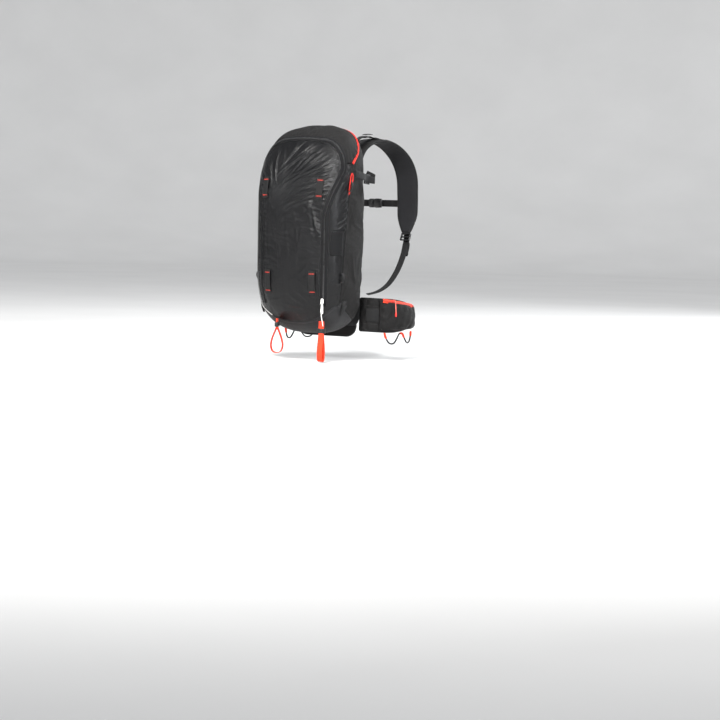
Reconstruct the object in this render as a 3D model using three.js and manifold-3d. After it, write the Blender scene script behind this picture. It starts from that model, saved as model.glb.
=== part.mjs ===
// Avalanche airbag backpack, about 30 litres, in its worn shape.
//
// Millimetres. +Z is up, +X is the wearer's right and +Y points from the bag to the wearer.
// The origin is on the wearer's side of the lumbar pad, on the centre plane, level with the base of the bag.
//
// The bag is one rounded shell that is cut into sewn panels. A front flap zips open and folds down. A cover
// on top opens along a burst seam to free the folded airbag. A blower, its controller and a battery stand
// against the back wall, inside. The harness is a framesheet, pads, two shoulder straps, a sternum strap
// and a hip belt.

import * as THREE from "three";
import { mergeVertices } from "three/addons/utils/BufferGeometryUtils.js";
import Module from "manifold-3d";

const wasm = await Module();
wasm.setup();

// ---------------------------------------------------------------- driving dimensions

const GAP = 0.5; // clearance between pieces that touch
const FAR = 400; // reach of a cutting body past the object

const BAG = {
  height: 592,
  halfWidth: 143,
  front: -222, // fullest point of the front
  rear: -26, // flat side that the framesheet lies on
  topY: -70, // where front and rear meet at the very top
  bottomY: -85, // and at the very bottom
  wall: 4,
  around: 36, // points round one section
  levels: 20, // sections from base to top
};
const FLAP = {
  hingeZ: 85,
  topZ: 548,
  apexY: -60, // centre that the zip's angle is measured from
  lowAngle: 36, // degrees from the centre plane, along the straight lower zip
  highAngle: 60,
  flareFrom: 330,
  flareTo: 495,
  archFrom: 483, // the top seam arches in from here
  archFlat: 75, // half width of the level part of the arch
  zipHalfAngle: 2.6, // half the zip's width, as an angle
};
const SLIDER = { x: 101, z: 97, tilt: 15.4, lift: 1.6 }; // the slider rests at the right end of the zip
const COVER = { wingZ: 486, wingY: -125, seamTopY: -45 };
const SEAM = { lowY: -163, highY: -115, fromZ: 100, toZ: 480 }; // front surround to side panel
const HEM = { middleZ: 34, rise: 64, atX: 140 }; // top edge of the base panel
const BACK_CUT_Y = -33; // the back wall is what lies behind this plane

const FRAME = { front: -25.6, back: -23.2, halfWidth: 112, topHalfWidth: 88, low: 22, high: 520 };
const PAD = { back: -22.6, face: 0 };
const YOKE = { back: -22.6, face: -15, halfWidth: 100, low: 452, high: 540 };

const STRAP = { thickness: 12, steps: 16 };
const STRAP_ROUTE = [
  [68, -8, 468],
  [68, -6, 500],
  [70, 12, 528],
  [76, 52, 549],
  [86, 105, 553],
  [98, 158, 534],
  [109, 198, 498],
  [115, 218, 455],
  [117, 222, 400],
  [118, 222, 350],
  [121, 216, 315],
  [126, 206, 290],
];
const LIFTER_ROUTE = [
  [88, -22, 552],
  [90, -6, 560],
  [89, 28, 566],
  [87, 62, 562.5],
  [88, 88, 561.5],
];
const STRAP_WEBBING_ROUTE = [
  [132, 194, 260],
  [149, 152, 226],
  [160, 98, 178],
  [161, 46, 140],
  [152, 8, 122],
  [134, -18, 114],
];
const STRAP_FACE_Y = 228; // front face of the strap's straight chest run
const BELT = { padThickness: 13, rearHeight: 94, frontHeight: 62, steps: 12, webbing: 38 };
const BELT_ROUTE = [
  [105, -7, 55],
  [130, -5, 55],
  [152, 8, 54],
  [165, 42, 52],
  [169, 88, 50],
  [165, 138, 48],
  [151, 182, 46],
  [128, 214, 45],
];
const BELT_WEBBING_ROUTE = [
  [126.5, 217, 45],
  [103, 242, 44],
  [70, 262, 43],
  [34, 270, 42],
];
const BUCKLE = {
  y: 272,
  z: 42,
  depth: 13,
  height: 50,
  half: 27,
  tongue: 22,
  tongueHeight: 26,
  tongueDepth: 5,
};

const BLOWER = {
  x: 0,
  z: 435,
  radius: 50,
  growth: 14,
  ductLeft: 36,
  ductTop: 498,
  valveZ: 481,
  front: -78,
  back: -32.5,
  wall: 2.5,
};
const IMPELLER = { radius: 43, hub: 21, bore: 18, blades: 9 };
const CONTROLLER = { x0: -90, x1: -10, z0: 190, z1: 320, front: -62, back: -33.4 };
const BUTTON = { x: -30, z: 292, radius: 9, depth: 6 };
const LEVER = { pivotX: -22, tipX: -62, z: 329, y: -47, thickness: 6 };
const BATTERY = { x0: 8, x1: 80, z0: 176, z1: 318, front: -74, back: -38 };
const DOCK = { rim: 3, clear: 1, low: 168, high: 214, back: -33.4 };
const CABLE = { radius: 3, sides: 8 };

const WEB = 20; // webbing width
const SKI_LOOP = { thickness: 2.2 };
const LASH = {
  thickness: 4,
  upperX: 90,
  upperFrom: 383,
  upperTo: 442,
  lowerX: 74,
  lowerFrom: 114,
  lowerTo: 182,
};

// ---------------------------------------------------------------- materials

const finish = (color, roughness, metalness = 0) =>
  new THREE.MeshStandardMaterial({ color, roughness, metalness });
const M = {
  ripstop: finish(0x1b1b1c, 0.32),
  fabric: finish(0x262525, 0.75),
  base: finish(0x3a3a3a, 0.7),
  mesh: finish(0x1d1d1e, 0.9),
  foam: finish(0x2a2a2b, 0.95),
  webbing: finish(0x18181a, 0.7),
  orange: finish(0xe8401f, 0.65),
  red: finish(0xd8423a, 0.6),
  plastic: finish(0x151515, 0.45),
  white: finish(0xf0f0ee, 0.4),
  sheet: finish(0x30302f, 0.5),
  aluminium: finish(0xb9bcc0, 0.35, 0.9),
  electronics: finish(0x2d3033, 0.5),
  battery: finish(0x3c4146, 0.45),
};

// ---------------------------------------------------------------- geometry helpers

const vec = (x, y, z) => new THREE.Vector3(x, y, z);
const radians = THREE.MathUtils.degToRad;
const mirrored = (points) => points.map(([x, y, z]) => [-x, y, z]);
const curveOf = (points, closed = false) =>
  new THREE.CatmullRomCurve3(points.map((p) => vec(...p)), closed, "centripetal");

/** The geometry with its faces turned outwards. */
function facingOut(positions, index) {
  const p = (i) => vec(...positions.slice(3 * i, 3 * i + 3));
  let volume = 0;
  for (let i = 0; i < index.length; i += 3)
    volume += p(index[i]).dot(p(index[i + 1]).cross(p(index[i + 2])));
  if (volume < 0) index.reverse();
  return new THREE.BufferGeometry()
    .setAttribute("position", new THREE.Float32BufferAttribute(positions, 3))
    .setIndex(index);
}

/** A closed body through rings of equally many points. Fans close its ends, or it joins up into a loop. */
function loft(rings, closed = false) {
  const count = rings[0].length;
  const positions = rings.flat().flatMap((p) => [p.x, p.y, p.z]);
  const index = [];
  const last = closed ? rings.length : rings.length - 1;
  for (let r = 0; r < last; r++) {
    for (let i = 0; i < count; i++) {
      const a = r * count + i;
      const b = r * count + ((i + 1) % count);
      const c = ((r + 1) % rings.length) * count + i;
      const d = ((r + 1) % rings.length) * count + ((i + 1) % count);
      index.push(a, b, c, b, d, c);
    }
  }
  if (!closed) {
    for (const [ring, turn] of [[0, false], [rings.length - 1, true]]) {
      const middle = rings[ring].reduce((sum, p) => sum.add(p), vec(0, 0, 0)).divideScalar(count);
      const centre = positions.push(middle.x, middle.y, middle.z) / 3 - 1;
      for (let i = 0; i < count; i++) {
        const a = ring * count + i;
        const b = ring * count + ((i + 1) % count);
        index.push(centre, ...(turn ? [a, b] : [b, a]));
      }
    }
  }
  return facingOut(positions, index);
}

/** A flat strap along a curve. side is its width direction. Width and thickness may change along it. */
function ribbon(curve, { side = vec(1, 0, 0), width, thickness, steps, closed = false }) {
  const at = (value, u) => (typeof value === "function" ? value(u) : value);
  const rings = [];
  for (let i = 0; i < (closed ? steps : steps + 1); i++) {
    const u = i / steps;
    const p = curve.getPoint(u);
    const along = curve.getTangent(u);
    const across = at(side, u).clone().addScaledVector(along, -at(side, u).dot(along)).normalize();
    const out = along.clone().cross(across);
    const w = at(width, u) / 2;
    const t = at(thickness, u) / 2;
    const corner = (a, b) => p.clone().addScaledVector(across, a * w).addScaledVector(out, b * t);
    rings.push([corner(1, 1), corner(-1, 1), corner(-1, -1), corner(1, -1)]);
  }
  return loft(rings, closed);
}

/** A round cord along a curve. */
function tube(curve, radius, steps, sides = CABLE.sides) {
  const section = new THREE.Shape();
  for (let i = 0; i < sides; i++) {
    const a = (2 * Math.PI * i) / sides;
    section[i ? "lineTo" : "moveTo"](radius * Math.cos(a), radius * Math.sin(a));
  }
  return new THREE.ExtrudeGeometry(section, { steps, extrudePath: curve });
}

const shapeOf = (points) => new THREE.Shape(points.map(([a, b]) => new THREE.Vector2(a, b)));

function extruded(shape, depth, curveSegments) {
  return new THREE.ExtrudeGeometry(shape, { depth, bevelEnabled: false, curveSegments });
}

/** A shape drawn in X and Z, extruded from y0 to y1. */
const slab = (shape, y0, y1, segments = 5) =>
  extruded(shape, y1 - y0, segments).rotateX(Math.PI / 2).translate(0, y1, 0);

/** A shape drawn in Y and Z, extruded from x0 to x1. */
const prism = (shape, x0, x1, segments = 5) =>
  extruded(shape, x1 - x0, segments)
    .applyMatrix4(new THREE.Matrix4().makeBasis(vec(0, 1, 0), vec(0, 0, 1), vec(1, 0, 0)))
    .translate(x0, 0, 0);

/** A shape drawn in X and Y, extruded from z0 to z1. */

const box = (x0, x1, y0, y1, z0, z1) =>
  new THREE.BoxGeometry(x1 - x0, y1 - y0, z1 - z0).translate((x0 + x1) / 2, (y0 + y1) / 2, (z0 + z1) / 2);

/** A cylinder along Y. */
const rod = (x, z, radius, y0, y1, segments = 24) =>
  new THREE.CylinderGeometry(radius, radius, y1 - y0, segments).translate(x, (y0 + y1) / 2, z);

function roundedRect(x0, x1, z0, z1, r) {
  const s = new THREE.Shape();
  s.moveTo(x0 + r, z0);
  s.lineTo(x1 - r, z0);
  s.absarc(x1 - r, z0 + r, r, -Math.PI / 2, 0);
  s.lineTo(x1, z1 - r);
  s.absarc(x1 - r, z1 - r, r, 0, Math.PI / 2);
  s.lineTo(x0 + r, z1);
  s.absarc(x0 + r, z1 - r, r, Math.PI / 2, Math.PI);
  s.lineTo(x0, z0 + r);
  s.absarc(x0 + r, z0 + r, r, Math.PI, 1.5 * Math.PI);
  return s;
}

/** A geometry as a manifold-3d solid. */
function solid(geometry) {
  const bare = geometry.clone();
  for (const name of ["normal", "uv"]) bare.deleteAttribute(name);
  const merged = mergeVertices(bare, 1e-4);
  return new wasm.Manifold(
    new wasm.Mesh({
      numProp: 3,
      vertProperties: new Float32Array(merged.attributes.position.array),
      triVerts: new Uint32Array(merged.index.array),
    }),
  );
}

/** A manifold-3d solid as a geometry. */
function geometryOf(made) {
  const mesh = made.getMesh();
  const positions = new Float32Array(mesh.numVert * 3);
  for (let i = 0; i < mesh.numVert; i++) {
    positions.set(mesh.vertProperties.subarray(i * mesh.numProp, i * mesh.numProp + 3), i * 3);
  }
  return new THREE.BufferGeometry()
    .setAttribute("position", new THREE.BufferAttribute(positions, 3))
    .setIndex(new THREE.BufferAttribute(mesh.triVerts, 1));
}

const joined = (first, ...rest) => rest.reduce((sum, g) => sum.add(solid(g)), solid(first));

const pack = new THREE.Group();

/** Adds a named piece. shape is a geometry or a manifold-3d solid. */
function piece(name, shape, material) {
  const geometry = shape.isBufferGeometry ? shape : geometryOf(shape);
  const mesh = new THREE.Mesh(geometry, material);
  mesh.name = name;
  pack.add(mesh);
  return mesh;
}

/** Runs make for each side, with its suffix, the sign of X and a mirror for routes. */
function bothSides(make) {
  make("right", 1, (points) => points);
  make("left", -1, mirrored);
}

// ---------------------------------------------------------------- the bag's shell

/** Half width, front, rear and corner exponents of the bag's section at height z. */
function section(z) {
  const half = BAG.height / 2;
  const end = Math.abs(z - half) / half;
  const top = z > half;
  const tipY = top ? BAG.topY : BAG.bottomY;
  const fullness = top ? (1 - end ** 3) ** 0.6 : (1 - end ** 4) ** 0.38;
  const squareness = 1 - end ** 4;
  return {
    halfWidth: BAG.halfWidth * (1 - end ** 6) ** 0.385,
    front: tipY + (BAG.front - tipY) * fullness,
    rear: tipY + (BAG.rear - tipY) * (1 - end ** 12) ** 0.5,
    frontPower: 2.3 + 1.2 * squareness,
    rearPower: 2.5 + 2.5 * squareness,
  };
}

function bagRing(z, inset) {
  const s = section(z);
  const w = s.halfWidth - inset;
  const middle = (s.front + s.rear) / 2;
  const depth = (s.rear - s.front) / 2 - inset;
  const height = inset + (z * (BAG.height - 2 * inset)) / BAG.height;
  const ring = [];
  for (let i = 0; i < BAG.around; i++) {
    const a = (2 * Math.PI * i) / BAG.around;
    const power = 2 / (Math.sin(a) < 0 ? s.frontPower : s.rearPower);
    const raise = (value) => Math.sign(value) * Math.abs(value) ** power;
    ring.push(vec(w * raise(Math.cos(a)), middle + depth * raise(Math.sin(a)), height));
  }
  return ring;
}

/** The bag as a solid, inset from its outer skin. Its lowest and highest sections are flat. */
function bagSolid(inset) {
  const rings = [];
  const lowest = 1.5 + inset / 2;
  for (let i = 0; i <= BAG.levels; i++) {
    const share = (1 - Math.cos((Math.PI * i) / BAG.levels)) / 2;
    rings.push(bagRing(lowest + share * (BAG.height - 2 * lowest), inset));
  }
  return solid(loft(rings));
}

/** X of the bag's skin on the right side, at a given y and height. */
function skinX(y, z) {
  const s = section(z);
  const middle = (s.front + s.rear) / 2;
  const power = y < middle ? s.frontPower : s.rearPower;
  const share = Math.min(1, Math.abs(y - middle) / ((s.rear - s.front) / 2));
  return s.halfWidth * (1 - share ** power) ** (1 / power);
}

/** Y of the bag's skin on the front, at a given x and height. */
function skinY(x, z) {
  const s = section(z);
  const share = Math.min(1, Math.abs(x) / s.halfWidth);
  const depth = ((s.rear - s.front) / 2) * (1 - share ** s.frontPower) ** (1 / s.frontPower);
  return (s.front + s.rear) / 2 - depth;
}

/** Angle of the zip from the centre plane at height z, in degrees. */
function zipAngle(z) {
  const flare = THREE.MathUtils.clamp((z - FLAP.flareFrom) / (FLAP.flareTo - FLAP.flareFrom), 0, 1);
  const side = FLAP.lowAngle + (FLAP.highAngle - FLAP.lowAngle) * flare ** 1.5;
  const rise = THREE.MathUtils.clamp((z - FLAP.archFrom) / (FLAP.topZ - FLAP.archFrom), 0, 1);
  const archX = FLAP.archFlat + (BAG.halfWidth - FLAP.archFlat) * Math.sqrt(1 - rise ** 2);
  const arch = THREE.MathUtils.radToDeg(Math.atan2(archX, BAG.halfWidth - 40));
  return Math.min(side, arch);
}

/** The wedge in front of the zip line, moved outwards by an angle, between two heights. */
function frontWedge(moved, z0, z1) {
  const reach = 270;
  const rings = [];
  const count = 14;
  for (let i = 0; i <= count; i++) {
    const z = z0 + ((z1 - z0) * i) / count;
    const a = radians(zipAngle(z) + moved);
    const ray = (angle) => vec(reach * Math.sin(angle), FLAP.apexY - reach * Math.cos(angle), z);
    rings.push([vec(0, FLAP.apexY, z), ray(a), ray(a / 2), ray(0), ray(-a / 2), ray(-a)]);
  }
  return solid(loft(rings));
}

/** The burst seam in Y and Z, from the wing's tip up and over the top. */
const burstSeam = [
  [COVER.wingY, COVER.wingZ],
  [-108, 495],
  [-90, 510],
  [-76, 530],
  [-65, 551],
  [-55, 568],
  [COVER.seamTopY, 600],
];

/** Everything above and in front of the burst seam, moved rearwards by a distance. */
const coverCutter = (moved) =>
  solid(
    prism(
      shapeOf([
        [-FAR, COVER.wingZ - moved],
        ...burstSeam.map(([y, z]) => [y + moved, z - moved / 2]),
        [COVER.seamTopY + moved, 2 * FAR],
        [-FAR, 2 * FAR],
      ]),
      -FAR,
      FAR,
    ),
  );

/** Everything in front of the seam between front surround and side panels. */
function surroundCutter(moved) {
  const points = [[-FAR, -FAR], [SEAM.lowY + moved, -FAR]];
  const count = 8;
  for (let i = 0; i <= count; i++) {
    const share = i / count;
    const y = SEAM.lowY + (SEAM.highY - SEAM.lowY) * share ** 2 + moved;
    points.push([y, SEAM.fromZ + (SEAM.toZ - SEAM.fromZ) * share]);
  }
  points.push([SEAM.highY + moved, 2 * FAR], [-FAR, 2 * FAR]);
  return solid(prism(shapeOf(points), -FAR, FAR));
}

/** Everything below the base panel's top edge. */
function hemCutter(moved) {
  const points = [];
  for (let x = -150; x <= 150; x += 25) {
    points.push([x, HEM.middleZ + HEM.rise * (Math.abs(x) / HEM.atX) ** 2.5 + moved]);
  }
  return solid(slab(shapeOf([[-150, -FAR], ...points, [150, -FAR]]), -FAR, FAR));
}

const outer = bagSolid(0);
const shell = outer.subtract(bagSolid(BAG.wall));
const half = FLAP.zipHalfAngle;
const zipGap = 0.25; // angle that leaves a clearance beside the zip

const cablePath = (() => {
  const strap = curveOf(mirrored(STRAP_ROUTE));
  const points = [[0.61, 0], [0.54, -4], [0.46, -10], [0.38, -17], [0.31, -24]].map(([u, aside]) => {
    const out = strap.getTangent(u).cross(vec(1, 0, 0)).normalize();
    if (out.y + out.z < 0) out.negate();
    const p = strap.getPoint(u).addScaledVector(out, STRAP.thickness / 2 + CABLE.radius + 1.5);
    return [p.x + aside, p.y, p.z];
  });
  return curveOf([
    ...points,
    [-111, 36, 552],
    [-116, 6, 530],
    [-111, -16, 508],
    [-101, -34, 494],
    [-94, -50, 470],
    [-88, -54, 430],
    [-78, -50, 392],
    [-64, LEVER.y, 362],
  ]);
})();
const cableBore = solid(tube(cablePath, CABLE.radius + 1.2, 36, 6));

/** The four webbing lash loops that are sewn to the flap. */
function lashLoops() {
  const made = [];
  for (const x of [LASH.upperX, LASH.lowerX, -LASH.upperX, -LASH.lowerX]) {
    const upper = Math.abs(x) === LASH.upperX;
    const z0 = upper ? LASH.upperFrom : LASH.lowerFrom;
    const z1 = upper ? LASH.upperTo : LASH.lowerTo;
    const route = [0, 0.5, 1].map((t) => [x, skinY(x, z0 + (z1 - z0) * t) - 0.4, z0 + (z1 - z0) * t]);
    const tilt = vec(20, skinY(x + 10, z0) - skinY(x - 10, z0), 0).normalize();
    made.push(ribbon(curveOf(route), { side: tilt, width: WEB, thickness: LASH.thickness, steps: 4 }));
  }
  return joined(...made);
}

function makeShell() {
  const rest = shell.subtract(frontWedge(half + zipGap, FLAP.hingeZ - GAP, FLAP.topZ + 6));
  const body = rest.subtract(coverCutter(GAP * 1.6));
  const aboveHem = body.subtract(hemCutter(GAP));
  const behind = solid(box(-FAR, FAR, BACK_CUT_Y, FAR, -FAR, 2 * FAR));
  const behindGap = solid(box(-FAR, FAR, BACK_CUT_Y - GAP, FAR, -FAR, 2 * FAR));

  const flap = shell.intersect(frontWedge(-half - zipGap, FLAP.hingeZ + GAP, FLAP.topZ));
  piece("front_flap", flap.add(lashLoops()), M.ripstop);
  piece(
    "front_zip",
    shell
      .intersect(frontWedge(half, FLAP.hingeZ + GAP, FLAP.topZ + 5))
      .subtract(frontWedge(-half, FLAP.hingeZ - 5, FLAP.topZ + GAP)),
    M.webbing,
  );
  piece("airbag_cover", rest.intersect(coverCutter(-GAP)), M.fabric);
  piece("front_surround", aboveHem.intersect(surroundCutter(0)), M.ripstop);
  piece("base_panel", body.intersect(hemCutter(0)).subtract(behindGap), M.base);
  const sides = aboveHem.subtract(surroundCutter(GAP)).subtract(behindGap);
  piece("side_panel_right", sides.intersect(solid(box(0.3, FAR, -FAR, FAR, -FAR, 2 * FAR))), M.fabric);
  const leftHalf = solid(box(-FAR, -0.3, -FAR, FAR, -FAR, 2 * FAR));
  piece("side_panel_left", sides.intersect(leftHalf).subtract(cableBore), M.fabric);
  piece("back_wall", body.intersect(behind).subtract(cableBore), M.fabric);
}
makeShell();

/** The cord that edges the cover along the burst seam, from wing tip to wing tip. */
function makeBurstZip() {
  const side = burstSeam
    .slice(0, -1)
    .map(([y, z]) => [skinX(y - 3, z) + 3.1, y - 3, z]);
  const route = [...side, [74, -51, 583.2], [40, -50, 591.2]];
  const all = [...route, [0, -50, 595], ...mirrored(route).reverse()];
  piece("burst_zip", tube(curveOf(all), 2, 44, 6), M.red);
}
makeBurstZip();

// ---------------------------------------------------------------- zip slider and pull

function makeZipSlider() {
  const { x, z, tilt, lift } = SLIDER;
  const place = [x, skinY(x - 4, z) - lift, z];
  const body = joined(
    box(-4, 4, -4, 0, -8, 8),
    box(-1.5, 1.5, -8, -3.5, -5, -2.5),
    box(-1.5, 1.5, -8, -3.5, 3, 5.5),
    box(-1.5, 1.5, -8, -6.5, -5, 5.5),
  );
  piece("front_zip_slider", body.rotate([tilt, 0, 0]).translate(place), M.white);
  // The pull is a plate with an eye. It hangs upright, with the bar above its eye under the slider's bridge.
  const bar = vec(0, -5.2, -1.2).applyAxisAngle(vec(1, 0, 0), radians(tilt));
  const plate = solid(slab(roundedRect(-4, 4, -32.8, 0.8, 1.5), -0.8, 0.8, 3));
  const eye = solid(box(-2.4, 2.4, -5, 5, -8.8, -0.8));
  piece("front_zip_pull", plate.subtract(eye).translate([x, place[1] + bar.y, z + bar.z]), M.white);
}
makeZipSlider();

// ---------------------------------------------------------------- airbag, blower and electronics

function makeAirbag() {
  const bundle = bagSolid(12).intersect(solid(box(-FAR, FAR, -FAR, FAR, 506, 2 * FAR)));
  piece("airbag_folded", bundle, M.red);
}
makeAirbag();

/** The blower's snail-shell outline with its duct going up on the right, inset from the outside. */
function volute(inset, topZ) {
  const points = [];
  const start = inset ? 45 : 60; // the tongue between scroll and duct is solid
  for (let a = start; a <= 360; a += 15) {
    const r = BLOWER.radius + (BLOWER.growth * a) / 360 - inset;
    points.push([BLOWER.x + r * Math.cos(radians(a)), BLOWER.z + r * Math.sin(radians(a))]);
  }
  const right = BLOWER.x + BLOWER.radius + BLOWER.growth - inset;
  const left = BLOWER.x + BLOWER.ductLeft + inset;
  points.push([right, topZ], [left, topZ], [left, BLOWER.z + (inset ? 44 : 52)]);
  return shapeOf(points);
}

function makeBlower() {
  const t = BLOWER.wall;
  const coverBack = BLOWER.front + t;
  const housing = solid(slab(volute(0, BLOWER.ductTop), coverBack + GAP, BLOWER.back)).subtract(
    solid(slab(volute(t, BLOWER.ductTop + 20), BLOWER.front - 5, BLOWER.back - t)),
  );
  piece("blower_housing", housing, M.plastic);

  const cover = volute(0, BLOWER.ductTop);
  const spokes = 6;
  for (let i = 0; i < spokes; i++) {
    const a0 = radians((360 / spokes) * i + 5);
    const a1 = radians((360 / spokes) * (i + 1) - 5);
    const hole = new THREE.Path();
    hole.absarc(BLOWER.x, BLOWER.z, 30, a0, a1, false);
    hole.absarc(BLOWER.x, BLOWER.z, 10, a1, a0, true);
    hole.closePath();
    cover.holes.push(hole);
  }
  piece("blower_cover", slab(cover, BLOWER.front, coverBack, 4), M.plastic);

  const diskBack = BLOWER.back - t - 3.5;
  const bladeFront = coverBack - GAP + 4;
  const disk = solid(rod(BLOWER.x, BLOWER.z, IMPELLER.radius, diskBack - 2.5, diskBack, 36));
  let impeller = disk
    .add(solid(rod(BLOWER.x, BLOWER.z, IMPELLER.hub, bladeFront + 2, diskBack, 24)))
    .subtract(solid(rod(BLOWER.x, BLOWER.z, IMPELLER.bore, bladeFront + 5, diskBack + 5, 24)));
  const blade = shapeOf([
    [IMPELLER.hub - 1.5, -1],
    [30, 3],
    [37, 8.5],
    [IMPELLER.radius - 3, 14],
    [IMPELLER.radius - 4.5, 15],
    [35.5, 10.5],
    [29, 5.2],
    [IMPELLER.hub - 1.5, 1.2],
  ]);
  for (let i = 0; i < IMPELLER.blades; i++) {
    const turn = new THREE.Matrix4().makeRotationY((2 * Math.PI * i) / IMPELLER.blades);
    const one = slab(blade, bladeFront, diskBack - 1).applyMatrix4(turn).translate(BLOWER.x, 0, BLOWER.z);
    impeller = impeller.add(solid(one));
  }
  piece("impeller", impeller, M.electronics);

  const motor = joined(
    rod(BLOWER.x, BLOWER.z, IMPELLER.bore - 2, bladeFront + 8, BLOWER.back - t - GAP, 20),
    rod(BLOWER.x, BLOWER.z, 3, bladeFront + 6, BLOWER.back - t - 2, 10),
  );
  piece("blower_motor", motor, M.aluminium);

  const left = BLOWER.x + BLOWER.ductLeft + t + 2.5;
  const right = BLOWER.x + BLOWER.radius + BLOWER.growth - t - 1;
  const z = BLOWER.valveZ;
  const flap = joined(
    box(left, right, coverBack + 1.5, BLOWER.back - t - 1.5, z - 1, z + 1),
    rod(left, z, 1.6, coverBack + 1.5, BLOWER.back - t - 1.5, 10),
  );
  piece("check_valve_flap", flap, M.orange);
}
makeBlower();

function makeController() {
  const c = CONTROLLER;
  const bracket = (y) => box(LEVER.pivotX - 5, LEVER.pivotX + 5, y - 2, y + 2, c.z1 - 1, LEVER.z + 5);
  const reach = LEVER.thickness / 2 + 2.8;
  const buttonBottom = c.front + BUTTON.depth - 1;
  const housing = joined(
    slab(roundedRect(c.x0, c.x1, c.z0, c.z1, 9), c.front, c.back),
    bracket(LEVER.y - reach),
    bracket(LEVER.y + reach),
  ).subtract(solid(rod(BUTTON.x, BUTTON.z, BUTTON.radius + 0.7, c.front - 1, buttonBottom + 3.6, 20)));
  piece("controller_housing", housing, M.electronics);
  piece("power_button", rod(BUTTON.x, BUTTON.z, BUTTON.radius, c.front - 3.5, buttonBottom, 20), M.orange);

  const y0 = LEVER.y - LEVER.thickness / 2;
  const y1 = LEVER.y + LEVER.thickness / 2;
  const lever = joined(
    box(LEVER.tipX, LEVER.pivotX, y0, y1, LEVER.z - 2.5, LEVER.z + 2.5),
    rod(LEVER.pivotX, LEVER.z, 4, y0, y1, 14),
    box(LEVER.tipX - 2, LEVER.tipX + 6, y0, y1, LEVER.z - 2.5, LEVER.z + 5),
  );
  piece("trigger_lever", lever, M.aluminium);
}
makeController();

function makeBattery() {
  const b = BATTERY;
  piece("battery_pack", slab(roundedRect(b.x0, b.x1, b.z0, b.z1, 6), b.front, b.back), M.battery);
  const { rim, clear, low, high, back } = DOCK;
  const edge = rim + clear;
  const block = slab(roundedRect(b.x0 - edge, b.x1 + edge, low, high, 6), b.front - edge, back);
  const well = box(b.x0 - clear, b.x1 + clear, b.front - clear, b.back + clear, b.z0 - clear, FAR);
  piece("battery_dock", solid(block).subtract(solid(well)), M.plastic);
}
makeBattery();

piece("trigger_cable", tube(cablePath, CABLE.radius, 44), M.webbing);

function makeTriggerHandle() {
  const x = -117;
  const grip = joined(
    slab(roundedRect(x - 11, x + 11, 402, 452, 9), STRAP_FACE_Y + 3, STRAP_FACE_Y + 17, 4),
    slab(roundedRect(x - 5, x + 5, 446, 459, 3), STRAP_FACE_Y + 5, STRAP_FACE_Y + 13, 3),
    slab(roundedRect(x - 15, x + 15, 398, 412, 6), STRAP_FACE_Y + 4, STRAP_FACE_Y + 16, 4),
  );
  piece("trigger_handle", grip, M.red);
}
makeTriggerHandle();

// ---------------------------------------------------------------- back: frame, pads, yoke

function makeBack() {
  const f = FRAME;
  const outline = new THREE.Shape();
  outline.moveTo(-f.halfWidth + 24, f.low);
  outline.lineTo(f.halfWidth - 24, f.low);
  outline.quadraticCurveTo(f.halfWidth, f.low, f.halfWidth, f.low + 30);
  outline.lineTo(f.halfWidth, 400);
  outline.quadraticCurveTo(f.halfWidth - 2, 450, f.topHalfWidth, 480);
  outline.lineTo(f.topHalfWidth, f.high - 20);
  outline.quadraticCurveTo(f.topHalfWidth, f.high, f.topHalfWidth - 20, f.high);
  outline.lineTo(-f.topHalfWidth + 20, f.high);
  outline.quadraticCurveTo(-f.topHalfWidth, f.high, -f.topHalfWidth, f.high - 20);
  outline.lineTo(-f.topHalfWidth, 480);
  outline.quadraticCurveTo(-f.halfWidth + 2, 450, -f.halfWidth, 400);
  outline.lineTo(-f.halfWidth, f.low + 30);
  outline.quadraticCurveTo(-f.halfWidth, f.low, -f.halfWidth + 24, f.low);
  piece("framesheet", slab(outline, f.front, f.back), M.sheet);

  const stay = { x: 14, width: 12, low: 152, high: 446 };
  const bow = new THREE.Shape();
  bow.moveTo(-stay.x - stay.width / 2, stay.low);
  bow.lineTo(-stay.x + stay.width / 2, stay.low);
  bow.lineTo(-stay.x + stay.width / 2, stay.high - 14);
  bow.lineTo(stay.x - stay.width / 2, stay.high - 14);
  bow.lineTo(stay.x - stay.width / 2, stay.low);
  bow.lineTo(stay.x + stay.width / 2, stay.low);
  bow.lineTo(stay.x + stay.width / 2, stay.high);
  bow.lineTo(-stay.x - stay.width / 2, stay.high);
  piece("frame_stay", slab(bow, -22.6, -19.4), M.aluminium);

  bothSides((side, sign) => {
    const x = [26 * sign, 108 * sign].sort((a, b) => a - b);
    piece(`back_pad_${side}`, slab(roundedRect(x[0], x[1], 146, 444, 22), PAD.back, PAD.face - 2), M.foam);
  });
  piece("lumbar_pad", slab(roundedRect(-98, 98, -8, 132, 30), PAD.back, PAD.face), M.foam);
  const yoke = roundedRect(-YOKE.halfWidth, YOKE.halfWidth, YOKE.low, YOKE.high, 26);
  piece("yoke_panel", slab(yoke, YOKE.back, YOKE.face), M.mesh);
}
makeBack();

// ---------------------------------------------------------------- shoulder harness

const strapWidth = (u) => 60 + 8 * Math.sin(Math.PI * u) - 30 * THREE.MathUtils.smoothstep(u, 0.82, 1);

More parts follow.
